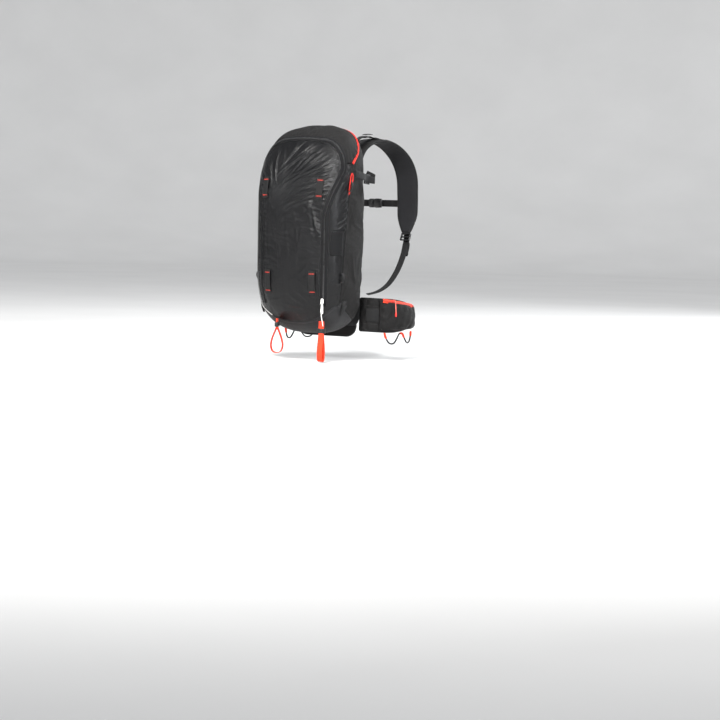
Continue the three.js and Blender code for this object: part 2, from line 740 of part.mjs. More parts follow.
function makeHarness() {
  bothSides((side, sign, route) => {
    const across = vec(sign, 0, 0);
    const strap = curveOf(route(STRAP_ROUTE));
    const shape = { side: across, width: strapWidth, thickness: STRAP.thickness, steps: STRAP.steps };
    let padded = solid(ribbon(strap, shape));
    const dock = box(-129, -105, STRAP_FACE_Y - 4, STRAP_FACE_Y + 2.5, 404, 440);
    if (side === "left") padded = padded.add(solid(dock));
    piece(`shoulder_strap_${side}`, padded, M.mesh);

    const webbed = { side: across, width: WEB, thickness: 2, steps: 10 };
    const web = ribbon(curveOf(route(STRAP_WEBBING_ROUTE)), webbed);
    piece(`strap_webbing_${side}`, web, M.webbing);

    // Ladder lock between strap and webbing: a frame with one bar.
    const window0 = solid(box(-12, 12, -10, 10, 2, 7));
    const window1 = solid(box(-12, 12, -10, 10, -7, -2));
    const block = solid(slab(roundedRect(-16, 16, -11, 11, 3), -3, 3, 3));
    const frame = block.subtract(window0).subtract(window1).rotate([-24, 0, 0]);
    piece(`strap_adjuster_${side}`, frame.translate([130 * sign, 199.5, 275]), M.plastic);

    const flatLifter = { side: across, width: WEB - 2, thickness: 1.8, steps: 8 };
    const lifter = ribbon(curveOf(route(LIFTER_ROUTE)), flatLifter);
    piece(`load_lifter_${side}`, lifter, M.webbing);

    const clear = (y, z, off) => [skinX(y, z) + off, y, z];
    const compression = curveOf(
      route([
        clear(-112, 456, 2.2),
        clear(-84, 452, 2.4),
        clear(-60, 448, 2.8),
        clear(-44, 445, 4),
        [131, -22, 442],
        [137, 2, 440],
        [128, 12, 447],
        [112, -4, 458],
      ]),
    );
    const flat = { side: vec(0, 0, 1), width: WEB, thickness: 2, steps: 14 };
    piece(`compression_strap_${side}`, ribbon(compression, flat), M.webbing);
  });

  const z = 375;
  const sternum = joined(
    ribbon(curveOf([[-100, 231.5, z], [-50, 233, z], [0, 233.5, z], [50, 233, z], [100, 231.5, z]]), {
      side: vec(0, 0, 1),
      width: WEB,
      thickness: 1.8,
      steps: 8,
    }),
    box(82, 101, STRAP_FACE_Y + 0.8, STRAP_FACE_Y + 6.5, z - 13, z + 13),
    box(-101, -82, STRAP_FACE_Y + 0.8, STRAP_FACE_Y + 6.5, z - 13, z + 13),
  );
  piece("sternum_webbing", sternum, M.webbing);
  piece("sternum_buckle", slab(roundedRect(-24, 24, z - 14, z + 14, 5), 234.9, 245, 3), M.plastic);

  const loop = curveOf(
    [
      [-24, -12.2, 534],
      [-25, -10, 510],
      [-17, -8.5, 490],
      [0, -8, 484],
      [17, -8.5, 490],
      [25, -10, 510],
      [24, -12.2, 534],
    ],
  );
  const band = { side: vec(0, 1, 0.08), width: 2.4, thickness: 15, steps: 16 };
  piece("haul_loop", ribbon(loop, band), M.webbing);
}
makeHarness();

// ---------------------------------------------------------------- hip belt

const beltHeight = (u) =>
  THREE.MathUtils.lerp(BELT.rearHeight, BELT.frontHeight, THREE.MathUtils.smoothstep(u, 0.45, 1));

function makeHipBelt() {
  bothSides((side, sign, route) => {
    const upright = vec(0, 0, 1);
    const wing = curveOf(route(BELT_ROUTE));
    const padded = { side: upright, width: beltHeight, thickness: BELT.padThickness, steps: BELT.steps };
    piece(`hip_wing_${side}`, ribbon(wing, padded), M.mesh);

    // The pocket lies on the outside of the wing. Its top slopes down towards the front.
    const plan = [];
    const from = 0.3;
    const to = 0.84;
    const count = 8;
    for (let i = 0; i <= count; i++) {
      const share = i / count;
      const u = from + (to - from) * share;
      const p = wing.getPoint(u);
      const out = wing.getTangent(u).cross(upright).multiplyScalar(sign);
      const bulge = 7 + 17 * Math.sin(Math.PI * share) ** 0.6;
      const inner = p.clone().addScaledVector(out, 8);
      plan.push({ inner, outer: inner.clone().addScaledVector(out, bulge), share });
    }
    const rings = plan.map(({ inner, outer: face, share }) => {
      const low = 12;
      const high = 98 - 24 * share;
      const level = (q, z) => vec(q.x, q.y, z);
      const shrunk = inner.clone().lerp(face, 0.72);
      return [
        level(inner, low),
        level(shrunk, low),
        level(face, low + 14),
        level(face, high - 12),
        level(shrunk, high),
        level(inner, high),
      ];
    });
    piece(`hip_pocket_${side}`, loft(rings), M.fabric);

    // The slider stands on the pocket's sloping top, near its rear end.
    const ridge = (i) => rings[i][4];
    const run = ridge(count - 2).clone().sub(ridge(2)).normalize();
    const at = ridge(2).clone().addScaledVector(upright, 5);
    const heading = new THREE.Quaternion().setFromUnitVectors(vec(1, 0, 0), run);
    const slider = new THREE.BoxGeometry(12, 8, 5).applyQuaternion(heading).translate(...at);
    piece(`pocket_zip_slider_${side}`, slider, M.orange);

    const web = curveOf(route(BELT_WEBBING_ROUTE));
    const flat = { side: upright, width: BELT.webbing, thickness: 2.4, steps: 8 };
    piece(`hip_webbing_${side}`, ribbon(web, flat), M.webbing);

    // A cord that sags twice below the wing's lower edge.
    const drop = [
      [0.36, 4], [0.38, -10], [0.43, -26], [0.49, -27], [0.54, -12], [0.57, -1],
      [0.62, -1], [0.65, -12], [0.7, -27], [0.76, -27], [0.81, -12], [0.83, 3],
    ];
    const loops = drop.map(([u, z]) => {
      const p = wing.getPoint(u);
      const out = wing.getTangent(u).cross(upright).multiplyScalar(sign);
      const q = p.addScaledVector(out, 11);
      return [q.x, q.y, z];
    });
    const above = solid(box(-FAR, FAR, -FAR, FAR, 11.2, FAR));
    piece(`gear_loops_${side}`, solid(tube(curveOf(loops), 2.4, 44, 6)).subtract(above), M.webbing);
  });

  const b = BUCKLE;
  const socketX = -b.half;
  const [halfDepth, halfHeight] = [b.tongueDepth / 2, b.tongueHeight / 2];
  const [clearY, clearZ] = [halfDepth + 1.4, halfHeight + 2];
  const cavity = box(-b.tongue, 4, b.y - clearY, b.y + clearY, b.z - clearZ, b.z + clearZ);
  const [low, high] = [b.z - b.height / 2, b.z + b.height / 2];
  const [rear, front] = [b.y - b.depth / 2, b.y + b.depth / 2];
  const socket = solid(slab(roundedRect(socketX, 0, low, high, 5), rear, front, 3))
    .subtract(solid(cavity))
    .subtract(solid(rod(-13, b.z, 8, b.y + 1, b.y + b.depth, 16)));
  piece("hip_buckle_socket", socket, M.plastic);
  piece("hip_buckle_button", rod(-13, b.z, 7.2, b.y + halfDepth + 2.6, front + 1.2, 16), M.aluminium);
  const tongue = joined(
    slab(roundedRect(1.2, b.half, low, high, 5), rear + 1, front - 1, 3),
    box(-b.tongue + 3, 4, b.y - halfDepth, b.y + halfDepth, b.z - halfHeight, b.z + halfHeight),
  );
  piece("hip_buckle_tongue", tongue, M.plastic);
}
makeHipBelt();

// ---------------------------------------------------------------- ski loops

function makeSkiLoops() {
  const { thickness } = SKI_LOOP;
  const half = (WEB - 2) / 2;
  const make = (side, [x, y, z], turn, spread, tab, length) => {
    const drop = length - tab;
    const right = [
      [spread * 0.3, -tab - drop * 0.15],
      [spread * 0.8, -tab - drop * 0.45],
      [spread, -tab - drop * 0.72],
      [spread * 0.7, -tab - drop * 0.94],
    ];
    const left = right.map(([a, b]) => [-a, b]).reverse();
    const route = [[0, -tab], ...right, [0, -length], ...left].map(([a, b]) => [a, 0, b]);
    const flat = { side: vec(0, 1, 0), width: WEB - 2, thickness, steps: 26, closed: true };
    const web = ribbon(curveOf(route, true), flat);
    const body = joined(web, box(-thickness, thickness, -half, half, -tab - 8, -2));
    const place = (made) => made.rotate([0, 0, turn]).translate([x, y, z]);
    piece(`ski_loop_${side}`, place(body), M.orange);
    const hole = box(-thickness - 0.6, thickness + 0.6, -half - 0.6, half + 0.6, -tab - 20, 0);
    const lock = solid(box(-5, 5, -14, 14, -tab, -tab + 14)).subtract(solid(hole));
    piece(`ski_lock_${side}`, place(lock), M.plastic);
  };
  make("right", [86, -181.5, 42], 90, 7, 36, 116);
  make("left", [-56, -193.5, 44], 20, 17, 26, 99);
}
makeSkiLoops();

export default pack;
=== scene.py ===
import math
import random

import bmesh
import bpy
import numpy as np
from mathutils import Matrix, Quaternion, Vector


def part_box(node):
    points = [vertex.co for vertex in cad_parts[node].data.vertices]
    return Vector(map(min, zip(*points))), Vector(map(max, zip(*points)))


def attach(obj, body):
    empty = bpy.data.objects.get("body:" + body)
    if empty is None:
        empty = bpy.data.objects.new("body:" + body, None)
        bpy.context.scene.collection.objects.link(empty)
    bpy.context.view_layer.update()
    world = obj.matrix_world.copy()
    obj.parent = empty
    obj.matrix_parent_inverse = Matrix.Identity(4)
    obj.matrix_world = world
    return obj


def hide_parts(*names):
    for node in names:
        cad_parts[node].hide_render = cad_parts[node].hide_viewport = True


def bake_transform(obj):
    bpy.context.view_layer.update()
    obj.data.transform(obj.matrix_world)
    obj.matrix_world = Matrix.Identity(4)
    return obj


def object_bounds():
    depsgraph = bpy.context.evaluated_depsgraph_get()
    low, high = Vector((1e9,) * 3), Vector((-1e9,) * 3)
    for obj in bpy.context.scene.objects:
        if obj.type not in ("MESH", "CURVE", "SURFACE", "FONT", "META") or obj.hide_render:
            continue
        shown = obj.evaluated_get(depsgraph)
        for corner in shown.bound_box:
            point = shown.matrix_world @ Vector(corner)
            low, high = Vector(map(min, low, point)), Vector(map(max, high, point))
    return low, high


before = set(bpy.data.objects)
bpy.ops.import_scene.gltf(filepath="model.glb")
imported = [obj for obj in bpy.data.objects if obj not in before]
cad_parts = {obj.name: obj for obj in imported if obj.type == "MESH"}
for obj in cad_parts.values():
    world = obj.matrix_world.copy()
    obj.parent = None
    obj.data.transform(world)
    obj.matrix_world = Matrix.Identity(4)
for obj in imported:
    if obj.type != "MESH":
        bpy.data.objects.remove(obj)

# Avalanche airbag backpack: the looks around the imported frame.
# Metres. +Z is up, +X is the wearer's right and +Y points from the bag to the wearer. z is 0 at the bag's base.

cad_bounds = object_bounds()
random.seed(7)
MM = 0.001

# ---------------------------------------------------------------- camera, light and floor

VIEW = {"azimuth": 32.0, "elevation": 4.0, "roll": 1.3, "distance": 6.5, "lens": 112.0}
AIM = (87.6 * MM, -80.4 * MM)  # where the view's centre lies, to the right of and above the frame's origin


def make_camera():
    a, e = math.radians(VIEW["azimuth"]), math.radians(VIEW["elevation"])
    right = Vector((math.cos(a), math.sin(a), 0))
    back = Vector((math.sin(a) * math.cos(e), -math.cos(a) * math.cos(e), math.sin(e)))
    target = right * AIM[0] + back.cross(right) * AIM[1]
    data = bpy.data.cameras.new("camera")
    data.lens = VIEW["lens"]
    camera = bpy.data.objects.new("camera", data)
    bpy.context.scene.collection.objects.link(camera)
    camera.location = target + back * VIEW["distance"]
    turn = Matrix((right, back.cross(right), back)).transposed().to_quaternion()
    camera.rotation_euler = (turn @ Quaternion((0, 0, 1), math.radians(VIEW["roll"]))).to_euler()
    bpy.context.scene.camera = camera


def make_area_light(name, place, target, size, power, colour):
    data = bpy.data.lights.new(name, "AREA")
    data.energy, data.size, data.color = power, size, colour
    lamp = bpy.data.objects.new(name, data)
    bpy.context.scene.collection.objects.link(lamp)
    lamp.location = place
    lamp.rotation_euler = (Vector(target) - Vector(place)).to_track_quat("-Z", "Y").to_euler()


def make_sky_light(strength, spread):
    """A broad even light from above and in front, which reaches the far floor too."""
    light = bpy.data.lights.new("sky", "SUN")
    light.energy, light.angle = strength, math.radians(spread)
    obj = bpy.data.objects.new("sky", light)
    obj.rotation_euler = (math.radians(42), 0, math.radians(-12))
    bpy.context.scene.collection.objects.link(obj)


def make_studio():
    middle = (0, 0, 0.3)
    make_area_light("key", (0.9, -2.7, 2.4), middle, 0.6, 175, (1.0, 0.98, 0.95))
    make_area_light("front", (-1.3, -3.0, 1.3), middle, 0.9, 45, (1.0, 1.0, 1.0))
    make_area_light("side", (2.8, -1.3, 1.5), middle, 0.55, 120, (0.96, 0.98, 1.0))
    make_area_light("top", (0.4, 0.4, 3.0), middle, 1.4, 46, (1.0, 1.0, 1.0))
    make_area_light("back", (1.0, 3.2, 1.6), middle, 1.6, 60, (0.96, 0.98, 1.0))
    make_sky_light(1.3, 50)
    world = bpy.data.worlds.new("studio")
    world.use_nodes = True
    background = world.node_tree.nodes["Background"]
    background.inputs["Color"].default_value = (0.94, 0.96, 1.0, 1)
    background.inputs["Strength"].default_value = 0.34
    bpy.context.scene.world = world
    bpy.context.scene.view_settings.view_transform = "Standard"


# ---------------------------------------------------------------- mesh helpers


def new_object(name, verts, faces, uvs=None, material=None, smooth=True):
    """A mesh object. uvs is one (u, v) for each vertex, in metres."""
    mesh = bpy.data.meshes.new(name)
    mesh.from_pydata([tuple(v) for v in verts], [], [tuple(int(i) for i in f) for f in faces])
    if uvs is not None:
        layer = mesh.uv_layers.new(name="UVMap")
        corner = np.zeros(len(mesh.loops), np.int32)
        mesh.loops.foreach_get("vertex_index", corner)
        layer.data.foreach_set("uv", np.asarray(uvs, np.float32)[corner].ravel())
    if smooth:
        mesh.polygons.foreach_set("use_smooth", [True] * len(mesh.polygons))
    mesh.update()
    made = bpy.data.objects.new(name, mesh)
    bpy.context.scene.collection.objects.link(made)
    if material:
        mesh.materials.append(material)
    return made


def grid_faces(rows, cols, close_rows=False, close_cols=False, first=0):
    faces = []
    for r in range(rows if close_rows else rows - 1):
        for c in range(cols if close_cols else cols - 1):
            a, b = r * cols + c, r * cols + (c + 1) % cols
            d, e = ((r + 1) % rows) * cols + c, ((r + 1) % rows) * cols + (c + 1) % cols
            faces.append((first + a, first + b, first + e, first + d))
    return faces


def lengths_along(points):
    """Distance from the first point along a polyline."""
    steps = np.linalg.norm(np.diff(points, axis=0), axis=1)
    return np.concatenate([[0], np.cumsum(steps)])


def grid_uvs(grid):
    rows, cols = grid.shape[:2]
    v = lengths_along(grid[:, cols // 2])
    across = np.array([lengths_along(grid[r]) - lengths_along(grid[r])[cols // 2] for r in range(rows)])
    return np.stack([across, np.repeat(v[:, None], cols, 1)], -1).reshape(-1, 2)


def face_outwards(obj, inside=None):
    """Turns all faces the way that points away from a point, or outwards on a closed mesh."""
    work = bmesh.new()
    work.from_mesh(obj.data)
    bmesh.ops.recalc_face_normals(work, faces=work.faces)
    if inside is not None:
        facing = sum((f.calc_center_median() - Vector(inside)).dot(f.normal) * f.calc_area() for f in work.faces)
        if facing < 0:
            bmesh.ops.reverse_faces(work, faces=work.faces)
    work.to_mesh(obj.data)
    work.free()
    obj.data.polygons.foreach_set("use_smooth", [True] * len(obj.data.polygons))
    return obj


def with_ends(p):
    """Points with one more at each end, straight on."""
    return np.vstack([2 * p[0] - p[1], p, 2 * p[-1] - p[-2]])


def catmull(points, count, closed=False):
    """A smooth curve through points, as count points evenly spaced by length."""
    p = np.asarray(points, float)
    ext = np.vstack([p[-1], p, p[0], p[1]]) if closed else with_ends(p)
    fine = []
    for i in range(len(ext) - 3):
        a, b, c, d = ext[i : i + 4]
        t = np.linspace(0, 1, 24, endpoint=False)[:, None]
        fine.append(0.5 * (2 * b + (c - a) * t + (2 * a - 5 * b + 4 * c - d) * t**2 + (3 * b - a - 3 * c + d) * t**3))
    fine = np.vstack(fine + [ext[-2][None]])
    return resample(fine, count, closed)


def resample(points, count, closed=False):
    along = lengths_along(points)
    at = np.linspace(0, along[-1], count, endpoint=not closed)
    return np.stack([np.interp(at, along, points[:, k]) for k in range(3)], -1)


def unit(v):
    return v / np.maximum(np.linalg.norm(v, axis=-1, keepdims=True), 1e-12)


def smoothstep(t):
    t = np.clip(t, 0, 1)
    return t * t * (3 - 2 * t)


def tangents(points, closed=False):
    if closed:
        return unit(np.roll(points, -1, 0) - np.roll(points, 1, 0))
    return unit(np.gradient(points, axis=0))


# ---------------------------------------------------------------- the bag's skin

BAG = {"height": 0.592, "half_width": 0.143, "front": -0.222, "rear": -0.026, "top_y": -0.07, "bottom_y": -0.085}
BACK_CUT_Y = -0.033  # the back wall is the part of the skin behind this plane


def section(z):
    """Half width, front, rear and corner exponents of the bag at height z, as in the CAD model."""
    half = BAG["height"] / 2
    end = np.clip(np.abs(z - half) / half, 0, 0.99995)
    top = z > half
    tip = np.where(top, BAG["top_y"], BAG["bottom_y"])
    fullness = np.where(top, (1 - end**3) ** 0.6, (1 - end**4) ** 0.38)
    square = 1 - end**4
    return {
        "half_width": BAG["half_width"] * (1 - end**6) ** 0.385,
        "front": tip + (BAG["front"] - tip) * fullness,
        "rear": tip + (BAG["rear"] - tip) * (1 - end**12) ** 0.5,
        "front_power": 2.3 + 1.2 * square,
        "rear_power": 2.5 + 2.5 * square,
    }


def skin_field(p):
    """Below 0 inside the bag, above 0 outside it."""
    s = section(p[..., 2])
    middle = (s["front"] + s["rear"]) / 2
    depth = (s["rear"] - s["front"]) / 2
    power = np.where(p[..., 1] < middle, s["front_power"], s["rear_power"])
    x = np.abs(p[..., 0]) / s["half_width"]
    y = np.abs(p[..., 1] - middle) / depth
    value = (np.minimum(x, 9) ** power + np.minimum(y, 9) ** power) ** (1 / power) - 1
    beyond = (p[..., 2] < 0) | (p[..., 2] > BAG["height"])
    return np.where(beyond, 9.0, value)


def cast(origin, towards):
    """Where rays from points inside the bag, through other points, meet its skin."""
    origin, towards = np.broadcast_arrays(np.asarray(origin, float), np.asarray(towards, float))
    along = unit(towards - origin)
    near, far = np.zeros(origin.shape[:-1]), np.full(origin.shape[:-1], 0.5)
    for _ in range(34):
        middle = (near + far) / 2
        outside = skin_field(origin + along * middle[..., None]) > 0
        far = np.where(outside, middle, far)
        near = np.where(outside, near, middle)
    return origin + along * near[..., None]


def on_skin(p):
    """Points moved to the skin, away from the bag's upright spine."""
    p = np.asarray(p, float)
    spine = np.zeros_like(p)
    spine[..., 1] = -0.1
    spine[..., 2] = np.clip(p[..., 2], 0.12, 0.45)
    return cast(spine, p)


def skin_normal(p):
    p = np.asarray(p, float)
    out = np.stack([p[..., 0], p[..., 1] + 0.1, p[..., 2] - np.clip(p[..., 2], 0.12, 0.45)], -1)
    out = unit(out)
    flat = np.where(np.abs(out[..., 2:]) < 0.8, [0.0, 0, 1], [0.0, 1, 0])
    one = unit(np.cross(out, flat))
    two = np.cross(out, one)
    step = 0.002
    across = on_skin(p + one * step) - on_skin(p - one * step)
    upright = on_skin(p + two * step) - on_skin(p - two * step)
    normal = unit(np.cross(across, upright))
    return normal * np.where(np.sum(normal * out, -1, keepdims=True) < 0, -1, 1)


def at_bearing(angle, z):
    """The skin at an angle from the centre plane, seen from an upright axis inside the bag."""
    angle, z = np.broadcast_arrays(np.asarray(angle, float), np.asarray(z, float))
    axis = np.stack([np.zeros_like(z), np.full_like(z, APEX_Y), z], -1)
    return cast(axis, axis + np.stack([np.sin(angle), -np.cos(angle), np.zeros_like(z)], -1))


def bearing(p):
    return np.arctan2(p[..., 0], APEX_Y - p[..., 1])


# ---------------------------------------------------------------- seam lines

APEX_Y = -0.06
HINGE_Z = 0.085
ARCH = {"low": 0.483, "top": 0.5505, "flat": 0.075, "reach": 0.143, "y": 0.103}
ZIP_HALF = 0.0075
FLAP_LOW, FLAP_FLARE = math.radians(36), math.radians(24)
WING = {"y": -0.120, "z": 0.484}
HEM = {"middle": 0.034, "rise": 0.064, "at": 0.14}


def zip_angle(z):
    flare = np.clip((z - 0.33) / 0.165, 0, 1)
    return np.minimum(FLAP_LOW + FLAP_FLARE * flare**1.5, math.atan2(ARCH["reach"], ARCH["y"]))


def seam_y(z):
    """Y of the seam between front surround and side panel."""
    share = np.clip((z - 0.1) / (WING["z"] - 0.1), 0, 1)
    return -0.163 + (WING["y"] + 0.163) * share**2


def hem_z(x):
    return HEM["middle"] + HEM["rise"] * (np.abs(x) / HEM["at"]) ** 2.5


def zip_line():
    """The zip's centre line on the right side, from its lower end to the end of the arch's curve."""
    z = np.linspace(HINGE_Z, ARCH["low"], 260)
    side = at_bearing(zip_angle(z), z)
    turn = np.linspace(0, math.pi / 2, 80)[1:]
    z = ARCH["low"] + (ARCH["top"] - ARCH["low"]) * np.sin(turn)
    x = ARCH["flat"] + (ARCH["reach"] - ARCH["flat"]) * np.cos(turn)
    arch = at_bearing(np.arctan2(x, ARCH["y"]), z)
    return np.vstack([side, arch])


def whole_line(right, count):
    """A line on the right side joined with its mirror image, from right to left, evenly spaced."""
    return on_skin(resample(np.vstack([right, (right * (-1, 1, 1))[::-1]]), count))


def smoothed(points, rounds):
    p = points.copy()
    for _ in range(rounds):
        p[1:-1] = 0.5 * p[1:-1] + 0.25 * (p[:-2] + p[2:])
    return p


ZIP_RIGHT = resample(smoothed(zip_line(), 30), 300)


def beside(line, distance):
    """A line moved along the skin, sideways, to its left as seen from outside."""
    side = unit(np.cross(skin_normal(line), tangents(line)))
    return on_skin(line + side * distance)


# From the right side's lower end, the flap is to the left of the line and the surround to its right.
FLAP_EDGE = beside(ZIP_RIGHT, ZIP_HALF)
SURROUND_EDGE = beside(ZIP_RIGHT, -ZIP_HALF)


def burst_line():
    """The burst seam on the right side, from the wing's tip over the shoulder to the centre of the top."""
    route = [(-0.120, 0.484), (-0.108, 0.495), (-0.09, 0.51), (-0.076, 0.53), (-0.065, 0.551), (-0.055, 0.568)]
    over = np.array([(0.074, -0.051, 0.62), (0.04, -0.05, 0.64), (0.0, -0.05, 0.65)])
    top = cast(over * (1, 1, 0) + (0, 0, 0.4), over)
    points = []
    for y, z in route:
        width = np.linspace(0, 0.2, 400)
        probe = np.stack([width, np.full(400, y), np.full(400, z)], -1)
        points.append([width[np.argmax(skin_field(probe) > 0)], y, z])
    return on_skin(catmull(np.vstack([points, top]), 200))


BURST_RIGHT = burst_line()


def rear_outline(angle):
    """The back wall's edge, where the back cut's plane meets the skin. 0 is to the right, 90 degrees is up."""
    angle = np.asarray(angle, float)
    centre = np.broadcast_to([0, BACK_CUT_Y, 0.3], angle.shape + (3,))
    return cast(centre, centre + np.stack([np.cos(angle), 0 * angle, np.sin(angle)], -1))


# ---------------------------------------------------------------- materials


class Nodes:
    """A small helper that builds one material's node tree."""

    def __init__(self, name, colour, roughness, metallic=0.0, sheen=0.0, coat=0.0, specular=0.5):
        self.material = bpy.data.materials.new(name)
        self.material.use_nodes = True
        self.tree = self.material.node_tree
        self.shader = self.tree.nodes["Principled BSDF"]
        self.shader.inputs["Base Color"].default_value = (*colour, 1)
        self.shader.inputs["Roughness"].default_value = roughness
        self.shader.inputs["Metallic"].default_value = metallic
        self.shader.inputs["Specular IOR Level"].default_value = specular
        self.shader.inputs["Sheen Weight"].default_value = sheen
        self.shader.inputs["Sheen Roughness"].default_value = 0.4
        self.shader.inputs["Coat Weight"].default_value = coat
        self.shader.inputs["Coat Roughness"].default_value = 0.25
        self.colour = colour
        self.roughness = roughness
        self.height = None
        source = self.new("ShaderNodeTexCoord")
        self.place = source.outputs["Object"]
        self.cloth = source.outputs["UV"]

    def new(self, kind, **settings):
        node = self.tree.nodes.new(kind)
        for key, value in settings.items():
            setattr(node, key, value)
        return node

    def link(self, a, b):
        self.tree.links.new(a, b)

    def maths(self, operation, a, b=None, clamp=False):
        node = self.new("ShaderNodeMath", operation=operation, use_clamp=clamp)
        for socket, value in zip(node.inputs, (a, b)):
            if value is None:
                continue
            if isinstance(value, (int, float)):
                socket.default_value = value
            else:
                self.link(value, socket)
        return node.outputs[0]

    def noise(self, scale, detail=3.0, source=None, stretch=None):
        source = source or self.place
        if stretch:
            mapping = self.new("ShaderNodeMapping")
            mapping.inputs["Scale"].default_value = stretch
            self.link(source, mapping.inputs["Vector"])
            source = mapping.outputs[0]
        node = self.new("ShaderNodeTexNoise")
        node.inputs["Scale"].default_value = scale
        node.inputs["Detail"].default_value = detail
        self.link(source, node.inputs["Vector"])
        return node.outputs["Fac"]

    def threads(self, pitch, axis, source=None, turn=0.0):
        """A wave from 0 to 1 that repeats every pitch metres along one axis of the cloth's own coordinates."""
        mapping = self.new("ShaderNodeMapping")
        mapping.inputs["Rotation"].default_value = (0, 0, turn)
        self.link(source or self.cloth, mapping.inputs["Vector"])
        split = self.new("ShaderNodeSeparateXYZ")
        self.link(mapping.outputs[0], split.inputs[0])
        wave = self.maths("SINE", self.maths("MULTIPLY", split.outputs[axis], 2 * math.pi / pitch))
        return self.scaled(wave, 0.5, 0.5)

    def scaled(self, value, factor, offset=0.0):
        node = self.new("ShaderNodeMath", operation="MULTIPLY_ADD")
        self.link(value, node.inputs[0])
        node.inputs[1].default_value = factor
        node.inputs[2].default_value = offset
        return node.outputs[0]

    def lines(self, pitch, axis, width, turn=0.0):
        """1 on narrow lines that repeat every pitch metres, 0 between them."""
        ramp = self.new("ShaderNodeMapRange")
        ramp.inputs["From Min"].default_value = math.cos(math.pi * width) * 0.5 + 0.5
        ramp.inputs["From Max"].default_value = 1.0
        self.link(self.threads(pitch, axis, turn=turn), ramp.inputs["Value"])
        return ramp.outputs[0]

    def streaks(self, x0, z0, across, along, detail=2.0):
        """Noise drawn out into rays from one point of the front, (x0, z0)."""
        split = self.new("ShaderNodeSeparateXYZ")
        self.link(self.place, split.inputs[0])
        dx, dz = self.maths("SUBTRACT", split.outputs[0], x0), self.maths("SUBTRACT", split.outputs[2], z0)
        reach = self.maths("SQRT", self.maths("ADD", self.maths("MULTIPLY", dx, dx), self.maths("MULTIPLY", dz, dz)))
        polar = self.new("ShaderNodeCombineXYZ")
        self.link(self.maths("MULTIPLY", self.maths("ARCTAN2", dz, dx), across), polar.inputs[0])
        self.link(self.maths("MULTIPLY", reach, along), polar.inputs[1])
        return self.noise(1.0, detail, source=polar.outputs[0])

    def fade(self, axis, start, end):
        """0 at start and 1 at end, along one axis of the object."""
        split = self.new("ShaderNodeSeparateXYZ")
        self.link(self.place, split.inputs[0])
        ramp = self.new("ShaderNodeMapRange", interpolation_type="SMOOTHSTEP")
        ramp.inputs["From Min"].default_value = min(start, end)
        ramp.inputs["From Max"].default_value = max(start, end)
        ramp.inputs["To Min"].default_value = 0.0 if start < end else 1.0
        ramp.inputs["To Max"].default_value = 1.0 if start < end else 0.0
        self.link(split.outputs[axis], ramp.inputs["Value"])
        return ramp.outputs[0]

    def add_height(self, value, amount):
        part = self.scaled(value, amount)
        self.height = part if self.height is None else self.maths("ADD", self.height, part)

    def vary_colour(self, value, dark, light, low=0.3, high=0.7):
        """Mixes the colour from dark times to light times itself."""
        ramp = self.new("ShaderNodeValToRGB")
        ramp.color_ramp.elements[0].position = low
        ramp.color_ramp.elements[1].position = high
        ramp.color_ramp.elements[0].color = (*[min(1, c * dark) for c in self.colour], 1)
        ramp.color_ramp.elements[1].color = (*[min(1, c * light) for c in self.colour], 1)
        self.link(value, ramp.inputs["Fac"])
        self.link(ramp.outputs["Color"], self.shader.inputs["Base Color"])

    def vary_roughness(self, value, spread):
        self.link(self.scaled(value, 2 * spread, self.roughness - spread), self.shader.inputs["Roughness"])

    def done(self, strength=0.6, distance=0.001):
        """Joins the heights, which are in metres when distance is 1, to the shader's normal."""
        if self.height is not None:
            bump = self.new("ShaderNodeBump")
            bump.inputs["Strength"].default_value = strength
            bump.inputs["Distance"].default_value = distance
            self.link(self.height, bump.inputs["Height"])
            self.link(bump.outputs["Normal"], self.shader.inputs["Normal"])
        return self.material


def ripstop(name, colour, roughness, coat=0.0, grid=0.0052, drawn=None):
    """drawn is "flap" or "strip", for the creases of a panel that is pulled tight."""
    n = Nodes(name, colour, roughness, coat=coat, specular=0.21)
    if drawn == "flap":
        corner = n.maths("MULTIPLY", n.fade(2, 0.31, 0.43), n.fade(0, -0.07, 0.0))
        n.add_height(n.maths("MULTIPLY", n.streaks(0.30, 0.63, 62, 7), corner), 5.5)
        rest = n.maths("SUBTRACT", 1.0, n.scaled(corner, 0.8))
        n.add_height(n.maths("MULTIPLY", n.streaks(-0.06, 1.15, 75, 5), rest), 3.2)
    if drawn == "strip":
        n.add_height(n.streaks(0.42, 0.95, 75, 26, 3.0), 5.0)
    ribs = n.maths("MAXIMUM", n.lines(grid, 0, 0.13), n.lines(grid, 1, 0.13))
    weave = n.maths("MULTIPLY", n.threads(0.0008, 0), n.threads(0.0008, 1))
    crinkle = n.noise(70, 4, stretch=(1, 1, 0.5))
    n.add_height(ribs, 0.35)
    n.add_height(weave, 0.25)
    n.add_height(crinkle, 1.3)
    n.add_height(n.noise(380, 2), 0.25)
    wear = n.noise(16, 5)
    n.vary_colour(n.maths("ADD", n.scaled(wear, 0.7), n.scaled(ribs, 0.25)), 0.88, 1.25, 0.25, 0.75)
    n.vary_roughness(n.noise(34, 4), 0.09)
    return n.done(0.55, 0.0007)


def plain_weave(name, colour, roughness, pitch=0.0014, sheen=0.02, crease=0.9):
    n = Nodes(name, colour, roughness, sheen=sheen, specular=0.10)
    warp, weft = n.threads(pitch, 0), n.threads(pitch, 1)
    weave = n.maths("ABSOLUTE", n.maths("SUBTRACT", warp, weft))
    n.add_height(weave, 0.45)
    n.add_height(n.noise(90, 4), crease)
    n.add_height(n.noise(900, 2), 0.15)
    n.vary_colour(n.maths("ADD", n.scaled(n.noise(12, 5), 0.75), n.scaled(weave, 0.2)), 0.75, 1.35)
    n.vary_roughness(n.noise(40, 3), 0.07)
    return n.done(0.6, 0.0007)


